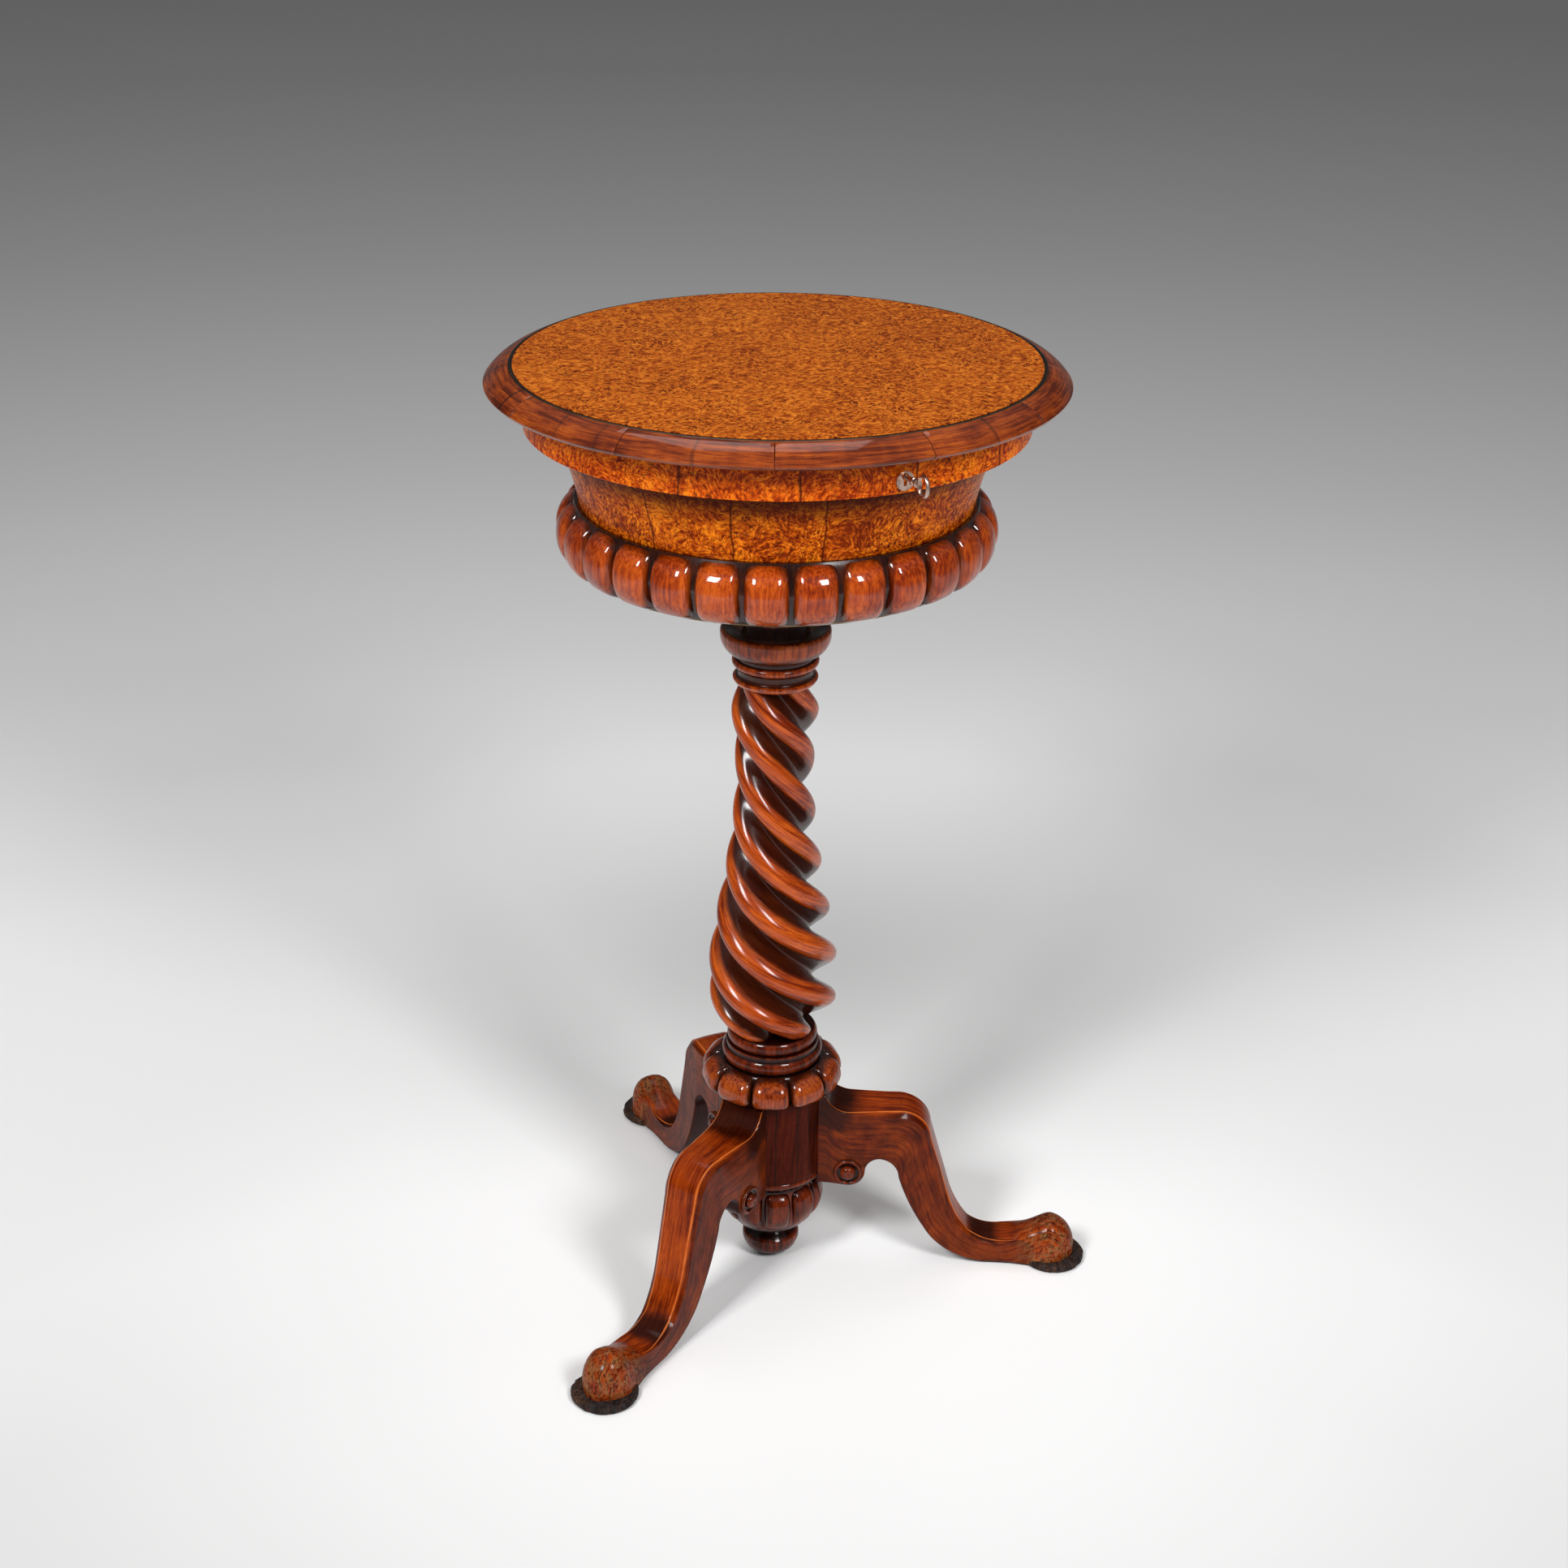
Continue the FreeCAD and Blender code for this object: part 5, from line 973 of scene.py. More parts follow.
ring_of_lobes("drop_lobes", (43.5, 57.5, 15.0, 20.5, 10, 0.3, 2.0), -1, "drop_walnut",
              "pendant", lean=3.0)
drop_core = [
    (0, 4), *arc((13, 4), (22.5, 11), 2, 6), *arc((22.5, 11), (23.6, 20), 0.8, 6)[1:],
    (17.5, 26), *arc((25, 31), (38.5, 57.5), 4, 8), (36, 79), (38, 80.5),
    *arc((40.5, 84), (40.5, 91), 3.5, 10), (0, 91)]
turn_and_dress("drop_core", drop_core, "drop_walnut", "walnut_dark", "pendant", 0.6)

# %% [markdown]
# Between the legs the drum of the hub shows, dark and upright-grained, and under the box a
# turned disc, the bearer, spreads the weight. They are short profiles. The three pads
# under the toes are plain discs, but a century of scraping has chipped their edges, so
# a seeded row of random bites is taken out of each pad's rim before it is finished.
# %% Hub, bearer and foot pads
hub_line = [(20.2, 91.2), (44.7, 91.2), (44.7, 167.9), (20.2, 167.9)]
turn_and_dress("hub_drum", hub_line, "hub_walnut", "walnut_dark", "hub", 0.8)

bearer_line = [(16.2, 606), (34, 606), (34, 611), *arc((62, 611), (78, 623), 3, 10), (78, 628),
               (16.2, 628)]
turn_and_dress("bearer_disc", bearer_line, "drop_walnut", "walnut_dark", "bearer", 0.6)

PAD_REACH = 240.7        # mm from the column to the middle of a pad
PAD_RIM = 20             # mm; points farther out than this are chipped
PAD_STEPS = 96
PAD_LINE = [(0, 0), (24.2, 0), (25.6, 0.6), (26.8, 2.0), (27.2, 3.4), (27.0, 5.0), (26.2, 6.2),
            (24.6, 7.0), (0, 7.0)]


def worn_pad(name, azimuth, seed):
    """A foot pad with a chipped, uneven edge."""
    chance = random.Random(seed)
    middle = Vector((PAD_REACH * math.cos(math.radians(azimuth)),
                     PAD_REACH * math.sin(math.radians(azimuth)) + AXIS_Y / MM))
    bites = [chance.random() for _ in range(PAD_STEPS)]
    points = []
    scuff = []
    for column in range(PAD_STEPS):
        angle = 2 * math.pi * column / PAD_STEPS
        slow = math.sin(angle * 3 + seed) * 0.5 + math.sin(angle * 7 + seed * 2) * 0.5
        near = (bites[column] + bites[column - 1] + bites[column - 2]) / 3
        bite = max(near - 0.55, 0) * 3.2 + (1 + slow) * 0.25
        for row, (radius, level) in enumerate(PAD_LINE):
            upper = 1.0 if row > 3 else 0.45
            pulled = radius - (bite * upper if radius > PAD_RIM else 0)
            points.append(((middle.x + pulled * math.cos(angle)) * MM,
                           (middle.y + pulled * math.sin(angle)) * MM,
                           (level - (bite * 0.35 if row in (5, 6, 7) else 0)) * MM))
            scuff.append(0.9 if radius > PAD_RIM else 0.4)
    faces = grid_faces(PAD_STEPS, len(PAD_LINE), round_rows=False)
    return mesh_piece(name, points, faces, {"scuff": scuff}, sharp=50)


LEGS = {"left": -150, "right": -30, "back": 90}
for number, (side, azimuth) in enumerate(LEGS.items()):
    dress(worn_pad("pad_" + side, azimuth, number + 3), "stand", "toe_timber", "toe_timber",
          "foot_pad_" + side)

# %% [markdown]
# A cabriole leg is sawn from a plank by two patterns, side and plan, and then its corners
# are taken off with a spokeshave and its toe rounded. The side pattern here has
# an under line, from the scroll over the arch to the sole, and an upper line, from the
# hub over the knee and the instep to the toe. Stations pair a point below with one above,
# and a ring of points is laid between them: square with a taken-off arris along the leg,
# turning into a dome at the toe. Carving with sculpt tools would not stay on pattern.
# %% The two lines of the side pattern
under_line = [
    (46, 79.8), *sweep_arc((65, 77.4), (79.2, 91.6), 14.2, 14),
    *sweep_arc((79.2, 91.6), (91.5, 104), -12.6, 12),
    *sweep_arc((91.5, 104), (107.5, 87), -17.5, 12),
    *sweep_arc((107.5, 87), (130, 36), 200, 12), *sweep_arc((130, 36), (181, 2.5), 64, 16),
    (181, 2.5), (212, 2.5), (258, 2.5)]
upper_line = [
    *sweep_arc((258, 14), (237.5, 41), 26, 18), *sweep_arc((237.5, 41), (225, 35.9), 30, 6),
    (225, 35.9), *sweep_arc((212, 28.8), (167, 33), -39, 14),
    *sweep_arc((167, 33), (150.5, 65), -92, 12), (150.5, 65),
    *sweep_arc((133.5, 125), (104, 149.4), 27, 16), (104, 149.4),
    *sweep_arc((68, 148.6), (44.5, 167.7), -22, 12), (46, 165.6)][::-1]
HUB_WIDE = 20            # mm, half the width of a leg at the hub
TOE_WIDE = 19.08         # and where the toe starts
TOE_START = 230
TOE_MIDDLE = 237.5
TOE_RADIUS = 20.5
TOE_END = TOE_MIDDLE + TOE_RADIUS
plan_line = [
    (30, HUB_WIDE), (104, HUB_WIDE), *sweep_arc((180, 15.5), (104, HUB_WIDE), -700, 10)[::-1],
    *sweep_arc((TOE_START, TOE_WIDE), (180, 15.5), -300, 10)[::-1]]


def half_width(reach):
    """Half the leg's width at this reach: parallel, drawn in, then a round toe."""
    if reach >= TOE_START:
        return math.sqrt(max(TOE_RADIUS ** 2 - (reach - TOE_MIDDLE) ** 2, 0))
    for (a, wide_a), (b, wide_b) in zip(plan_line, plan_line[1:]):
        if a <= reach <= b:
            return wide_a + (wide_b - wide_a) * (reach - a) / max(b - a, 1e-9)
    return TOE_WIDE if reach > 200 else HUB_WIDE


def nearest_run(line, run, point):
    """Running length of the line's point that lies nearest to a point."""
    best = min(range(len(line)), key=lambda index: math.dist(line[index], point))
    return run[best]


def point_at(line, run, goal):
    """The point at a running length."""
    for index in range(1, len(run)):
        if goal <= run[index] + 1e-9:
            part = (goal - run[index - 1]) / max(run[index] - run[index - 1], 1e-9)
            return Vector(line[index - 1]).lerp(Vector(line[index]), part)
    return Vector(line[-1])


under_run, upper_run = lengths(under_line), lengths(upper_line)
print("under line", round(under_run[-1]), "mm, upper line", round(upper_run[-1]), "mm")

# %% Stations along the leg, and one leg's mesh
FINE = 800               # steps in which a mark on the upper line is looked for
PAIRS = [((46, 79.8), (46, 165.6), 0), ((79.2, 91.6), (84, 148.9), 22),
         ((91.5, 104), (100, 149.3), 12), ((107.5, 87), (133.5, 125), 20),
         ((130, 36), (150.5, 65), 18), ((181, 2.5), (172, 31), 18),
         ((212, 2.5), (212, 28.8), 12), ((258, 2.5), (258, 14), 34)]


def stations():
    """Pairs of a lower and an upper point, along the whole leg."""
    lower_marks = [nearest_run(under_line, under_run, low) for low, _, _ in PAIRS]
    dense_run = [upper_run[-1] * step / FINE for step in range(FINE + 1)]
    dense = [point_at(upper_line, upper_run, goal) for goal in dense_run]
    upper_marks = [nearest_run(dense, dense_run, high) for _, high, _ in PAIRS]
    made = []
    for index in range(1, len(PAIRS)):
        count = PAIRS[index][2]
        for step in range(0 if index == 1 else 1, count + 1):
            share = step / count
            if index == len(PAIRS) - 1:
                share = math.sin(share * math.pi / 2)
            low = lower_marks[index - 1] * (1 - share) + lower_marks[index] * share
            high = upper_marks[index - 1] * (1 - share) + upper_marks[index] * share
            made.append((point_at(under_line, under_run, low),
                         point_at(upper_line, upper_run, high)))
    return made


def arris_at(reach):
    """How wide the taken-off corner is: widest at the knee, gone at the toe."""
    return 0.8 + 3.6 * smooth((reach - 60) / 35) * smooth(1 - held((reach - 165) / 45))


ROUND = 2.5              # power of the toe's section: 2 is an ellipse, more is squarer


def ring_points(tall, reach):
    """One ring as (place across, height, edge mark), over the leg from corner to corner."""
    wide = max(half_width(reach), 0.001)
    corner = min(arris_at(reach), wide * 0.4, tall * 0.3)
    ease = min(1.2, wide * 0.3)
    side = [(wide - ease, 0, 0.0), (wide, ease, 0.2)]
    low, high = ease, tall - corner - 1.1
    side += [(wide, low + (high - low) * step / 6, 0.0) for step in range(1, 6)]
    side += [(wide, high, 0.0), (wide, tall - corner, 0.3),
             (wide - corner * 0.5, tall - corner * 0.45, 0.0), (wide - corner, tall, 1.0),
             (wide - corner - 0.9, tall + 0.05, 0.35)]
    inner = wide - corner - 0.9
    side += [(inner * share, tall + 0.5 * (1 - share * share), 0.0) for share in (0.75, 0.45, 0.15)]
    dome = smooth((reach - 196) / 30)
    shaped = []
    for x, z, edge in side:
        slope = math.atan2(z / tall, x / wide)
        c, s = math.cos(slope), math.sin(slope)
        size = (abs(c) ** ROUND + abs(s) ** ROUND) ** (-1 / ROUND)
        shaped.append((x + (c * size * wide - x) * dome, z + (s * size * tall - z) * dome,
                       edge * (1 - dome)))
    mirror = [(-x, z, edge) for x, z, edge in reversed(shaped)]
    base = [(-wide * 0.5, 0, 0.0), (0, 0, 0.0), (wide * 0.5, 0, 0.0)]
    return shaped + mirror + base


HUB_RADIUS = 44.6        # mm; a leg's root is hollowed to sit on the drum


def leg_mesh(name, azimuth, seed):
    """A whole leg, already standing at its azimuth."""
    turn = Matrix.Rotation(math.radians(azimuth), 4, "Z")
    points, grain, hollow, edges, scuffs = [], [], [], [], []
    travel = 0.0
    before = None
    rings = stations()
    for number, (low, high) in enumerate(rings):
        middle = (low + high) / 2
        travel += (middle - before).length if before else 0.0
        before = middle
        tall = (high - low).length
        lean = (high - low) / max(tall, TINY)
        ring = ring_points(tall, middle.x)
        size = len(ring)
        for x, z, edge in ring:
            reach, level = low.x + lean.x * z, low.y + lean.y * z
            limit = half_width(min(reach, TOE_END)) / max(half_width(middle.x), TINY)
            x *= limit if middle.x < 225 else 1.0
            if number == 0:
                reach = math.sqrt(HUB_RADIUS ** 2 - x * x)
            flat = Vector((reach * MM, x * MM, level * MM))
            spot = turn @ flat
            points.append((spot.x, spot.y + AXIS_Y, spot.z))
            grain.append((travel * MM + seed, x * MM, (z - tall) * MM))
            # Painted shade, with some dirt near the hub: the marks darken the top near the hub, the
            # underside, and both cheeks against the lit top; the instep is darkened too.
            near_hub = held(1 - (reach - 50) / 42)
            beneath = max(0.0, 1 - z / 5) if z < 5 else 0.0
            top_dip = near_hub * (1.0 if z > tall * 0.8 else 0.55)
            cheek = 0.5 if abs(x) > half_width(min(reach, TOE_START)) - 2.5 and reach < 225 else 0.0
            instep = math.exp(-((reach - 180) / 17) ** 2) * (0.85 if z > tall * 0.9 else 0.5)
            hollow.append(min(max(top_dip, beneath * 0.7, cheek, instep), 1.0))
            edges.append(edge)
            scuffs.append(held((reach - 205) / 25))
    faces = grid_faces(len(rings), size, round_columns=False)
    faces.append(tuple(range(size)))
    last = (len(rings) - 1) * size
    faces.append(tuple(last + index for index in range(size)))
    marks = {"hollow": hollow, "edge": edges, "scuff": scuffs}
    return mesh_piece(name, points, faces, marks, grain, sharp=28)


for number, (side, azimuth) in enumerate(LEGS.items()):
    dress(leg_mesh("cabriole_" + side, azimuth, number * 0.37), "stand", "leg_walnut", "walnut",
          "leg_" + side)

# %% [markdown]
# Each scroll at the top of a leg wears a small turned roundel on both cheeks: a rim, a
# sunk bed and a button. One profile is turned upright, laid on its side against both
# cheeks of a leg that would point along x, and the pair is repeated for the three legs.
# %% Roundels on the leg scrolls
boss_line = [(0, 0), (12, 0), *arc((12, 1.0), (8.8, 1.0), 1.55, 10), (7.6, 0.5), (6.2, 0.6),
             *arc((6.4, 1.6), (0, 5.2), 2.1, 12)]
# Painted shade and dirt: the sunk bed and the outer edge of each roundel are darkened, so that it
# stands out.
boss_dirt_and_shade = [1.0 if 6.1 < radius < 8.9 and level < 1.7 or radius > 11.6 else 0.0
             for radius, level in boss_line]
boss = turned("leg_bosses", boss_line, steps=48, centre=(0, 0), dirt_and_shade=boss_dirt_and_shade)
pair = bmesh.new()
for cheek in (-1, 1):
    layed = boss.data.copy()
    lay = Matrix.Translation((65 * MM, 20 * MM * cheek, 91.6 * MM))
    layed.transform(lay @ Matrix.Rotation(math.radians(-90 * cheek), 4, "X"))
    pair.from_mesh(layed)
    bpy.data.meshes.remove(layed)
pair.to_mesh(boss.data)
pair.free()
copy_round(boss, 3, -30, 2, "drop_walnut")
dress(boss, "stand", "drop_walnut", "walnut_dark", "leg_roundels")

# %% [markdown]
# The sides of the box are veneer skins: a flared waist, hollow in its height, and the
# upright frieze above it. They are thin shells, spun with many steps so that the long
# reflections on them stay smooth. The escutcheon's recess stays hidden behind the plate.
# %% Veneered waist and frieze
waist_line = [(147.4, 677), *bow((148.6, 677), (167, 734.5), -1.9, 16), (167, 734.5),
              (165.8, 734.5), *bow((165.8, 734.5), (147.4, 677), 1.9, 8)[1:]]
turn_and_dress("waist_skin", waist_line, "burr_waist", "burr_side", "waist_veneer", steps=256)
frieze_line = [(186.75, 734.5), (187.6, 734.5), (188.2, 735.1), (188.2, 763.9), (186.75, 763.9)]
turn_and_dress("frieze_skin", frieze_line, "burr_frieze", "burr_side", "frieze_veneer", steps=256)

# %% [markdown]
# The lid is a flat burr disc inside a thin dark line of stringing, with a cushion-shaped
# rim round it. The rim was glued on in twelve short pieces, and the joints show. One
# piece is made: a profile swept through its share of the circle, with its two ends
# eased so that a fine groove shows between neighbours. The repeat tree lays all twelve.
# %% Lid: burr disc, stringing and twelve rim pieces
top_line = [(0, 779.62), (194.4, 779.62), (194.5, 780.5), (194.2, 780.8), (0, 780.8)]
turn_and_dress("lid_top", top_line, "burr_top", "burr_top", "lid_veneer", body="lid", steps=256)
line_line = [(194.6, 779.62), (197.5, 779.62), (197.5, 780.2), (197.2, 780.35), (194.9, 780.35),
             (194.6, 780.2)]
turn_and_dress("lid_line", line_line, "stringing", "stringing", "lid_stringing", body="lid",
               steps=256)

rim_line = [(197.6, 764.4), (213.0, 764.4), (213.9, 764.8), (215.5, 766.4),
            *bow((216, 767.5), (197.6, 779.7), 2, 18), (197.6, 779.7)]
RIM_STEPS = 20
RIM_SWEEP = 30.0         # degrees of one piece
GROOVE = 0.35            # mm that the end of a piece is drawn in by


def rim_piece(name):
    """One piece of the rim from angle 0, with eased ends and grain along it."""
    core = Vector((205.0, 771.0))
    rows = len(rim_line)
    run = lengths(rim_line)
    points, grain, edges, hollow = [], [], [], []
    inset = math.degrees(0.11 / 216)
    stops = [inset, inset * 4]
    stops += [inset * 4 + (RIM_SWEEP - inset * 8) * step / RIM_STEPS
              for step in range(1, RIM_STEPS)]
    stops += [RIM_SWEEP - inset * 4, RIM_SWEEP - inset]
    for index, degrees in enumerate(stops):
        angle = math.radians(degrees)
        end = index in (0, len(stops) - 1)
        for row, point in enumerate(rim_line):
            spot = Vector(point)
            if end:
                spot += (core - spot).normalized() * GROOVE
            points.append((spot.x * MM * math.cos(angle), spot.x * MM * math.sin(angle),
                           spot.y * MM))
            grain.append((0.205 * angle, run[row] * MM, 0.0))
            edges.append(0.5 if end else 0.0)
            outer = 3 < row < 8
            hollow.append(0.95 if end else (0.0 if outer else 0.12))
    faces = grid_faces(len(stops), rows, round_columns=False)
    faces.append(tuple(range(rows)))
    faces.append(tuple((len(stops) - 1) * rows + row for row in range(rows)))
    return mesh_piece(name, points, faces, {"edge": edges, "hollow": hollow}, grain)


rim = rim_piece("rim_pieces")
copy_round(rim, 12, 1.97, 11, "crossband")
dress(rim, "lid", "crossband", "crossband", "lid_rim")

# %% [markdown]
# The key is a small forging: a round shank with two turned collars, a flat bit and an
# oval bow for the fingers. The bow is a ring swept round an oval; the shank is a profile
# turned upright and then laid along the key's axis.
# %% Key
KEY_Z = 746.5
BOW_MIDDLE = (AXIS_Y / MM - 213, KEY_Z)
BOW_HALF = (5.8, 7.3)    # mm, half the width and half the height of the bow
BOW_WIRE = 1.2
points = []
around, section = 56, 14
for step in range(around):
    angle = 2 * math.pi * step / around
    out = Vector((math.cos(angle) / BOW_HALF[0], math.sin(angle) / BOW_HALF[1])).normalized()
    for corner in range(section):
        tilt = 2 * math.pi * corner / section
        ahead = BOW_WIRE * math.cos(tilt)
        y = BOW_MIDDLE[0] + BOW_HALF[0] * math.cos(angle) + out.x * ahead
        z = BOW_MIDDLE[1] + BOW_HALF[1] * math.sin(angle) + out.y * ahead
        points.append((1.5 * math.sin(tilt) * MM, y * MM, z * MM))
key = mesh_piece("key_forging", points, grid_faces(around, section), sharp=60)
shank_line = [(0, 0), (1.6, 0), (1.9, 0.3), (1.9, 26.0), (3.0, 26.5), (3.1, 27.6), (2.9, 28.5),
              (2.1, 28.9), (2.1, 30.5), (2.9, 30.9), (3.1, 31.8), (3.0, 32.6), (1.9, 33.2),
              (1.9, 35.6), (0, 35.6)]
shank = turned("key_shank", shank_line, steps=32, centre=(0, 0))
laid = Matrix.Translation((0, AXIS_Y - 172.6 * MM, KEY_Z * MM))
shank.data.transform(laid @ Matrix.Rotation(math.radians(90), 4, "X"))
bit = bmesh.new()
bit.from_mesh(key.data)
bit.from_mesh(shank.data)
block = bmesh.ops.create_cube(bit, size=1.0)["verts"]
bmesh.ops.scale(bit, vec=(1.3 * MM, 4 * MM, 5.4 * MM), verts=block)
bmesh.ops.translate(bit, vec=(0, AXIS_Y - 175.2 * MM, (KEY_Z - 2.8) * MM), verts=block)
rim_edges = list({edge for vert in block for edge in vert.link_edges})
bmesh.ops.bevel(bit, geom=rim_edges, offset=0.2 * MM, segments=2, affect="EDGES")
bit.to_mesh(key.data)
bit.free()
bpy.data.objects.remove(shank)
key.data.shade_smooth()
key.data.set_sharp_from_angle(angle=math.radians(40))
dress(key, "key", "key_metal", "key_metal", "key")

# %% [markdown]
# Under the lid, a deck holds two tea caddies and two glass mixing bowls. The caddies are
# plain boxes, so their solids stay and only get a finish, but the knobs and the bowls
# are turned again with smooth curves. The bowls hang in the deck by a fine lip.
# %% Knobs and mixing bowls
KNOB_REACH = 85 * MM
BOWL_REACH = 88 * MM
knob_line = [
    (0, 745.5), (2.4, 745.5), (2.4, 749), (5.5, 749.05), (5.3, 750),
    *bow((4.9, 750.3), (4.2, 755.2), -1.1, 8), *arc((4.2, 755.2), (3.3, 760), 2.2, 10)[:-1],
    (2.6, 759.9), (0, 760)]
bowl_line = [
    (0, 672), (16, 672), *arc((18, 672.6), (41, 748.3), 5, 18), (45.2, 748.5), (45.5, 749.5),
    (45.2, 751), (38.8, 751), *arc((38.4, 748.5), (16.7, 676), -5, 18), (0, 675.9)]
for side, way in (("left", -1), ("right", 1)):
    turn_and_dress("tea_knob_" + side, knob_line, "drop_walnut", "walnut_dark",
                   "caddy_knob_" + side, steps=48, centre=(KNOB_REACH * way, AXIS_Y))
for side, way in (("front", -1), ("back", 1)):
    turn_and_dress("mixing_bowl_" + side, bowl_line, "bowl_glass", "glass", "bowl_" + side,
                   steps=96, centre=(0, AXIS_Y + BOWL_REACH * way))

# %% [markdown]
# The rest of the solids are already right: the boards of the carcass, the caddies, the
# hinges, the lock and the screws. They stay as they are and get their finishes through
# their material slots. The wood of the lid board is dry on the inside, while the shoulder
# and the deck are polished walnut.
# %% Finishes for the solids that stay
STAYS = {
    "board_walnut": ["shoulder_board", "caddy_deck", "caddy_left", "caddy_right"],
    "carcass_timber": ["box_floor", "waist_carcass", "frieze_carcass", "lid_board"],
    "burr_top": ["caddy_lid_left", "caddy_lid_right"],
    "brass": ["hinge_box_leaf_left", "hinge_box_leaf_right", "hinge_lid_leaf_left",
              "hinge_lid_leaf_right", "hinge_pins", "hinge_box_screws", "hinge_lid_screws",
              "lock_plate", "lock_screws", "link_plate", "link_screws"],
    "steel": ["lock_case", "lock_bolt", "bearer_screws"],
    "key_metal": ["escutcheon"],
}
for finish, titles in STAYS.items():
    for title in titles:
        board = NODES[title]
        if not board.material_slots:
            board.data.materials.append(FINISH[finish])
        for slot in board.material_slots:
            slot.material = FINISH[finish]
print("solids that stay and got a finish", sum(map(len, STAYS.values())))

# %% [markdown]
# The stage is a pale floor that darkens with distance, as a paper sweep does in a studio.
# The change of tone is in the colour of the floor, so no lamp has to make it. Two soft
# patches are painted over it: a paler pool of light round the feet, where the boxes meet,
# and a greyer painted shadow behind the column, where its shadow would fall. The floor is matt.
# %% Floor
FLOOR_HALF = 30
RAMP = 10.0              # metres of floor that the tones are spread over
TONES = [(0.6, 0.59), (0.9, 0.70), (1.1, 0.82), (1.4, 0.88), (1.75, 0.95), (2.0, 0.95),
         (2.4, 0.84), (3.2, 0.73), (4.7, 0.61), (6.8, 0.50), (8.2, 0.46)]
floor_mesh = bpy.data.meshes.new("floor")
floor_mesh.from_pydata([(x * FLOOR_HALF, y * FLOOR_HALF, 0)
                        for x, y in ((-1, -1), (1, -1), (1, 1), (-1, 1))], [], [(0, 1, 2, 3)])
paper_tree, paper_inputs = start_material("paper_floor", glint=0.0)
spot = here(paper_tree)
from_here = vectors("DISTANCE", spot, (-0.46, -0.91, 0.0))[1]
ramp = put(paper_tree, "ShaderNodeValToRGB", {0: divide(from_here, RAMP)})
band = ramp.color_ramp
while len(band.elements) < len(TONES):
    band.elements.new(0.5)
for element, (distance, tone) in zip(band.elements, TONES):
    element.position = distance / RAMP
for element, (distance, tone) in zip(band.elements, TONES):
    element.color = (tone, tone, tone, 1)


def soft_patch(middle, reach, amount):
    """The amount at a point of the floor, fading to 0 at the reach in metres."""
    away = vectors("DISTANCE", spot, middle)[1]
    return times(ease_in(away, 0.0, reach, 1.0, 0.0), amount)


# Painted light and shadow on the floor: a paler pool of light round the feet and a painted shadow
# behind the column.
light_pool = soft_patch((-0.05, -0.22, 0.0), 0.75, 0.34)
shade = soft_patch((0.27, 0.42, 0.0), 0.55, 0.32)
tone = plus(ramp.outputs[0], minus(light_pool, shade))
grey = put(paper_tree, "ShaderNodeCombineColor", {0: tone, 1: tone, 2: tone})
feed(paper_inputs, {"Base Color": grey.outputs[0], "Roughness": 0.95})
floor_mesh.materials.append(FINISH["paper_floor"])
link("floor", floor_mesh)
print("floor tones", TONES)

# %% [markdown]
# The light is a plain studio set: one softbox at each side in front, a third high
# behind, and a dim sky that is brighter overhead. Together they are set so that a colour
# comes out about as it is written. The two front boxes are what shows as a pair of small
# bright windows on every gadroon. Towards the horizon the sky gives little light, but the
# camera, reflections and glass see a grey backdrop there, as the far end of the paper.
# %% Softboxes and sky
CENTRE = Vector((0, AXIS_Y, 0.5))


def softbox(title, place, wide, tall, power):
    """An area lamp that looks at the middle of the teapoy."""
    lamp = bpy.data.lights.new(title, "AREA")
    lamp.shape = "RECTANGLE"
    lamp.size = wide
    lamp.size_y = tall
    lamp.energy = power
    holder = link(title, lamp)
    holder.location = place
    holder.rotation_euler = (CENTRE - Vector(place)).to_track_quat("-Z", "Y").to_euler()


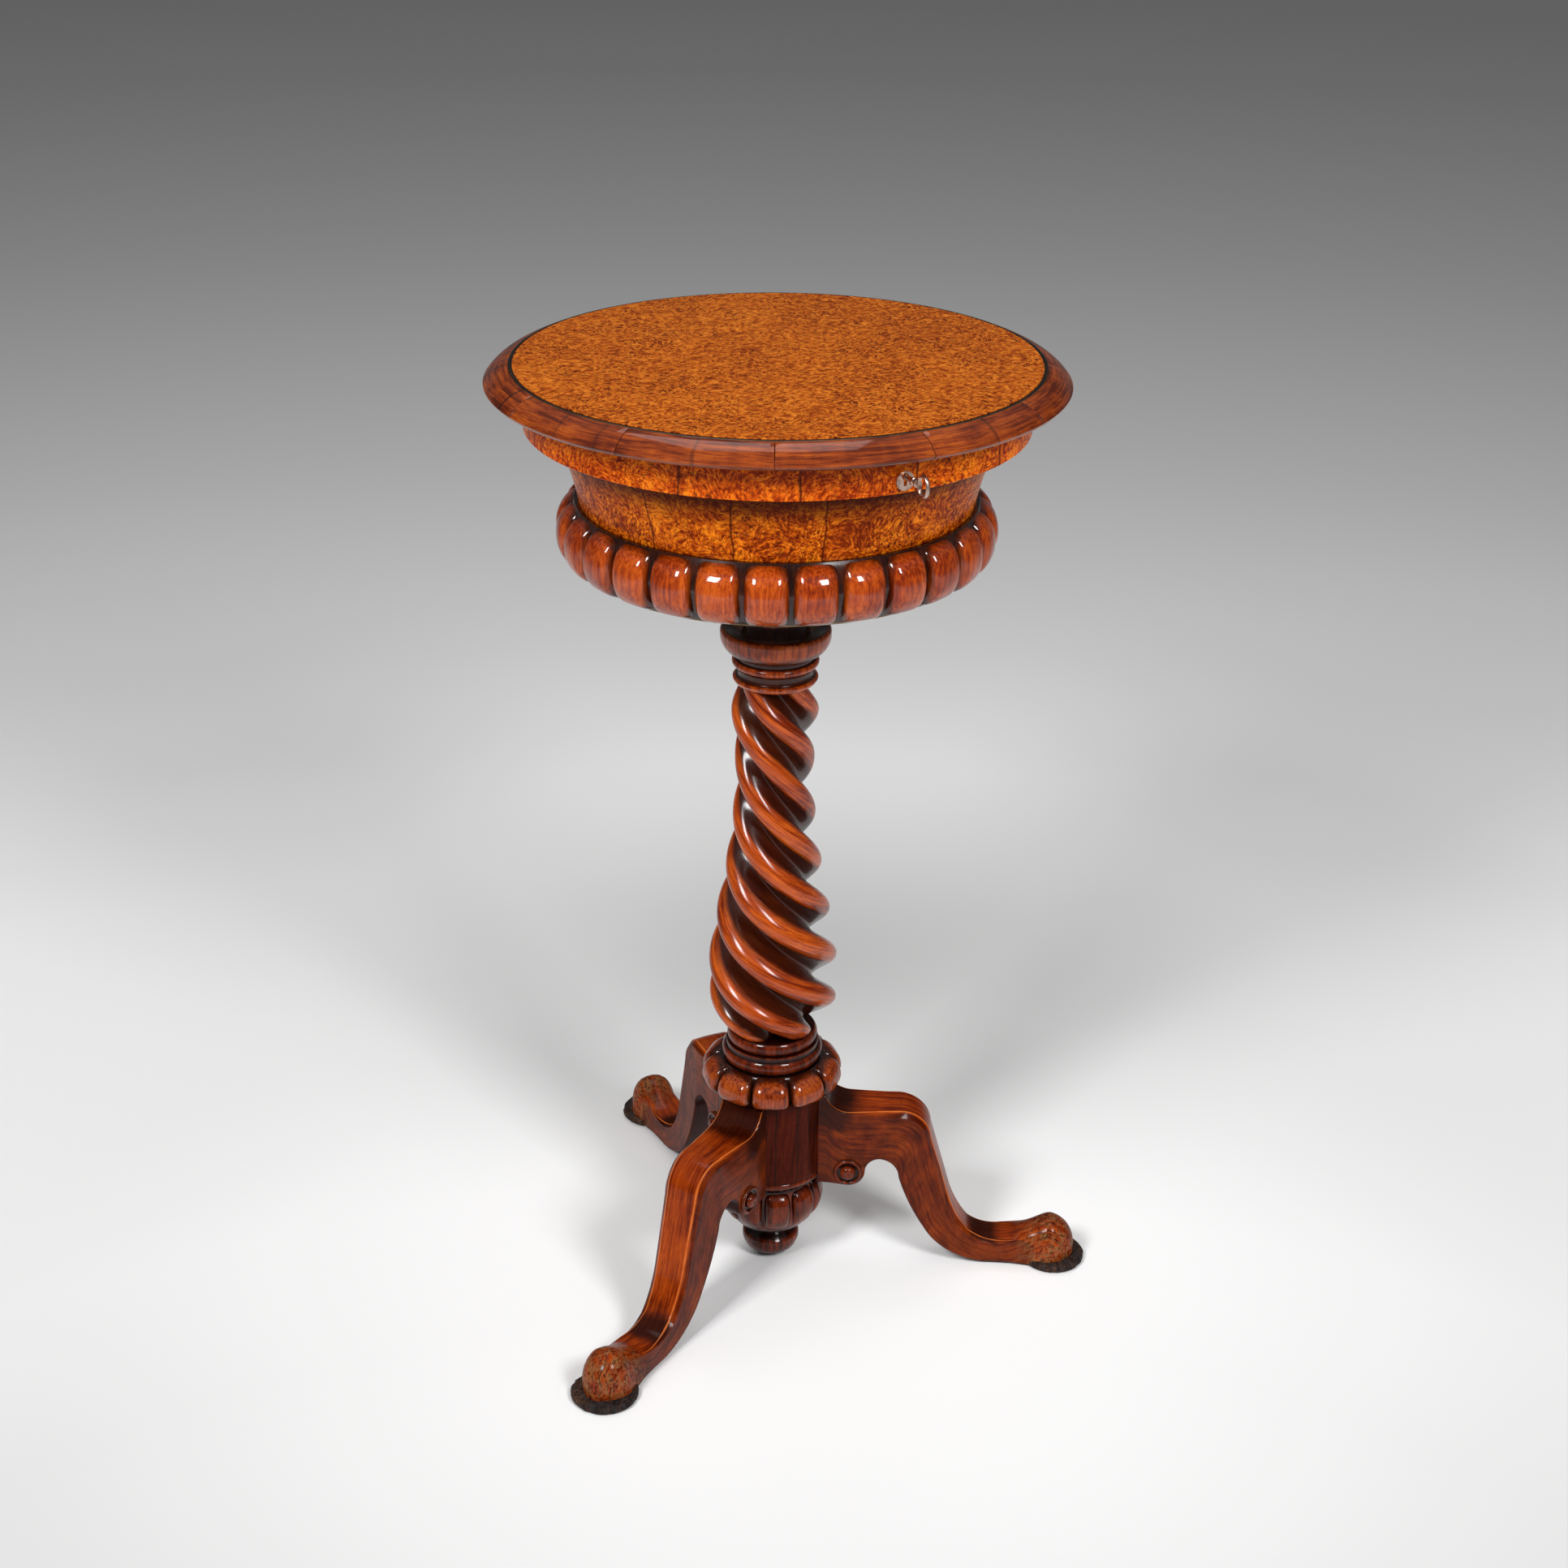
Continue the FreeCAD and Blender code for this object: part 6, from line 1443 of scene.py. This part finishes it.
softbox("box_left", (-2.04, -1.06, 2.3), 0.65, 0.8, 54)
softbox("box_right", (0.25, -2.3, 2.2), 0.65, 0.8, 46)
softbox("box_high", (0.3, 0.9, 3.4), 1.6, 1.6, 16)
sky = bpy.data.worlds.new("sky")
bpy.context.scene.world = sky
sky.use_nodes = True
sky_tree = sky.node_tree
direction = put(sky_tree, "ShaderNodeTexCoord").outputs["Generated"]
upward = split(direction)[2]
glow = blend_in(ease_in(upward, 0.2, 0.9), solid((0.03,) * 3), solid((0.38,) * 3))
path = put(sky_tree, "ShaderNodeLightPath").outputs
seen = most(most(path["Is Camera Ray"], path["Is Glossy Ray"]), path["Is Transmission Ray"])
backdrop = blend_in(ease_in(upward, 0.0, 0.4), solid((0.14,) * 3), glow)
feed(sky_tree.nodes["Background"].inputs, {
    "Color": blend_in(seen, glow, backdrop), "Strength": 0.9})

# %% [markdown]
# The camera stands where the photographer stood. Its place and tilt were worked out from
# the circles of the lid, the box and the column, and its lens from the way those circles
# flatten. Its directions are built from yaw, tilt and roll about the column, then turned
# with the box so that the lock faces the front of the model.
# %% Camera
YAW, TILT, ROLL, AROUND = (math.radians(v) for v in (0.23, 24.87, 0.61, -27.53))
ahead = Vector((math.sin(YAW) * math.cos(TILT), math.cos(YAW) * math.cos(TILT), -math.sin(TILT)))
right = Vector((math.cos(YAW), -math.sin(YAW), 0))
over = right.cross(ahead)
rolled_right = right * math.cos(ROLL) + over * math.sin(ROLL)
rolled_over = over * math.cos(ROLL) - right * math.sin(ROLL)
stance = Matrix((rolled_right, rolled_over, -ahead)).transposed().to_4x4()
stance.translation = Vector((0, -1.8655, 1.3024))
view_of = bpy.data.cameras.new("camera")
view_of.sensor_width = 36
view_of.lens = 59.905
view_of.clip_end = 100
camera = link("camera", view_of)
camera.matrix_world = (Matrix.Translation((0, AXIS_Y, 0))
                       @ Matrix.Rotation(AROUND, 4, "Z") @ stance)
bpy.context.scene.camera = camera
bpy.context.scene.view_settings.view_transform = "Standard"
print("camera at", [round(v, 3) for v in camera.matrix_world.translation])

# %% [markdown]
# Last, the scene is brought up to date. Blender only changes how the teapoy looks, never how big it
# is.
# %% Bring the scene up to date
bpy.context.view_layer.update()
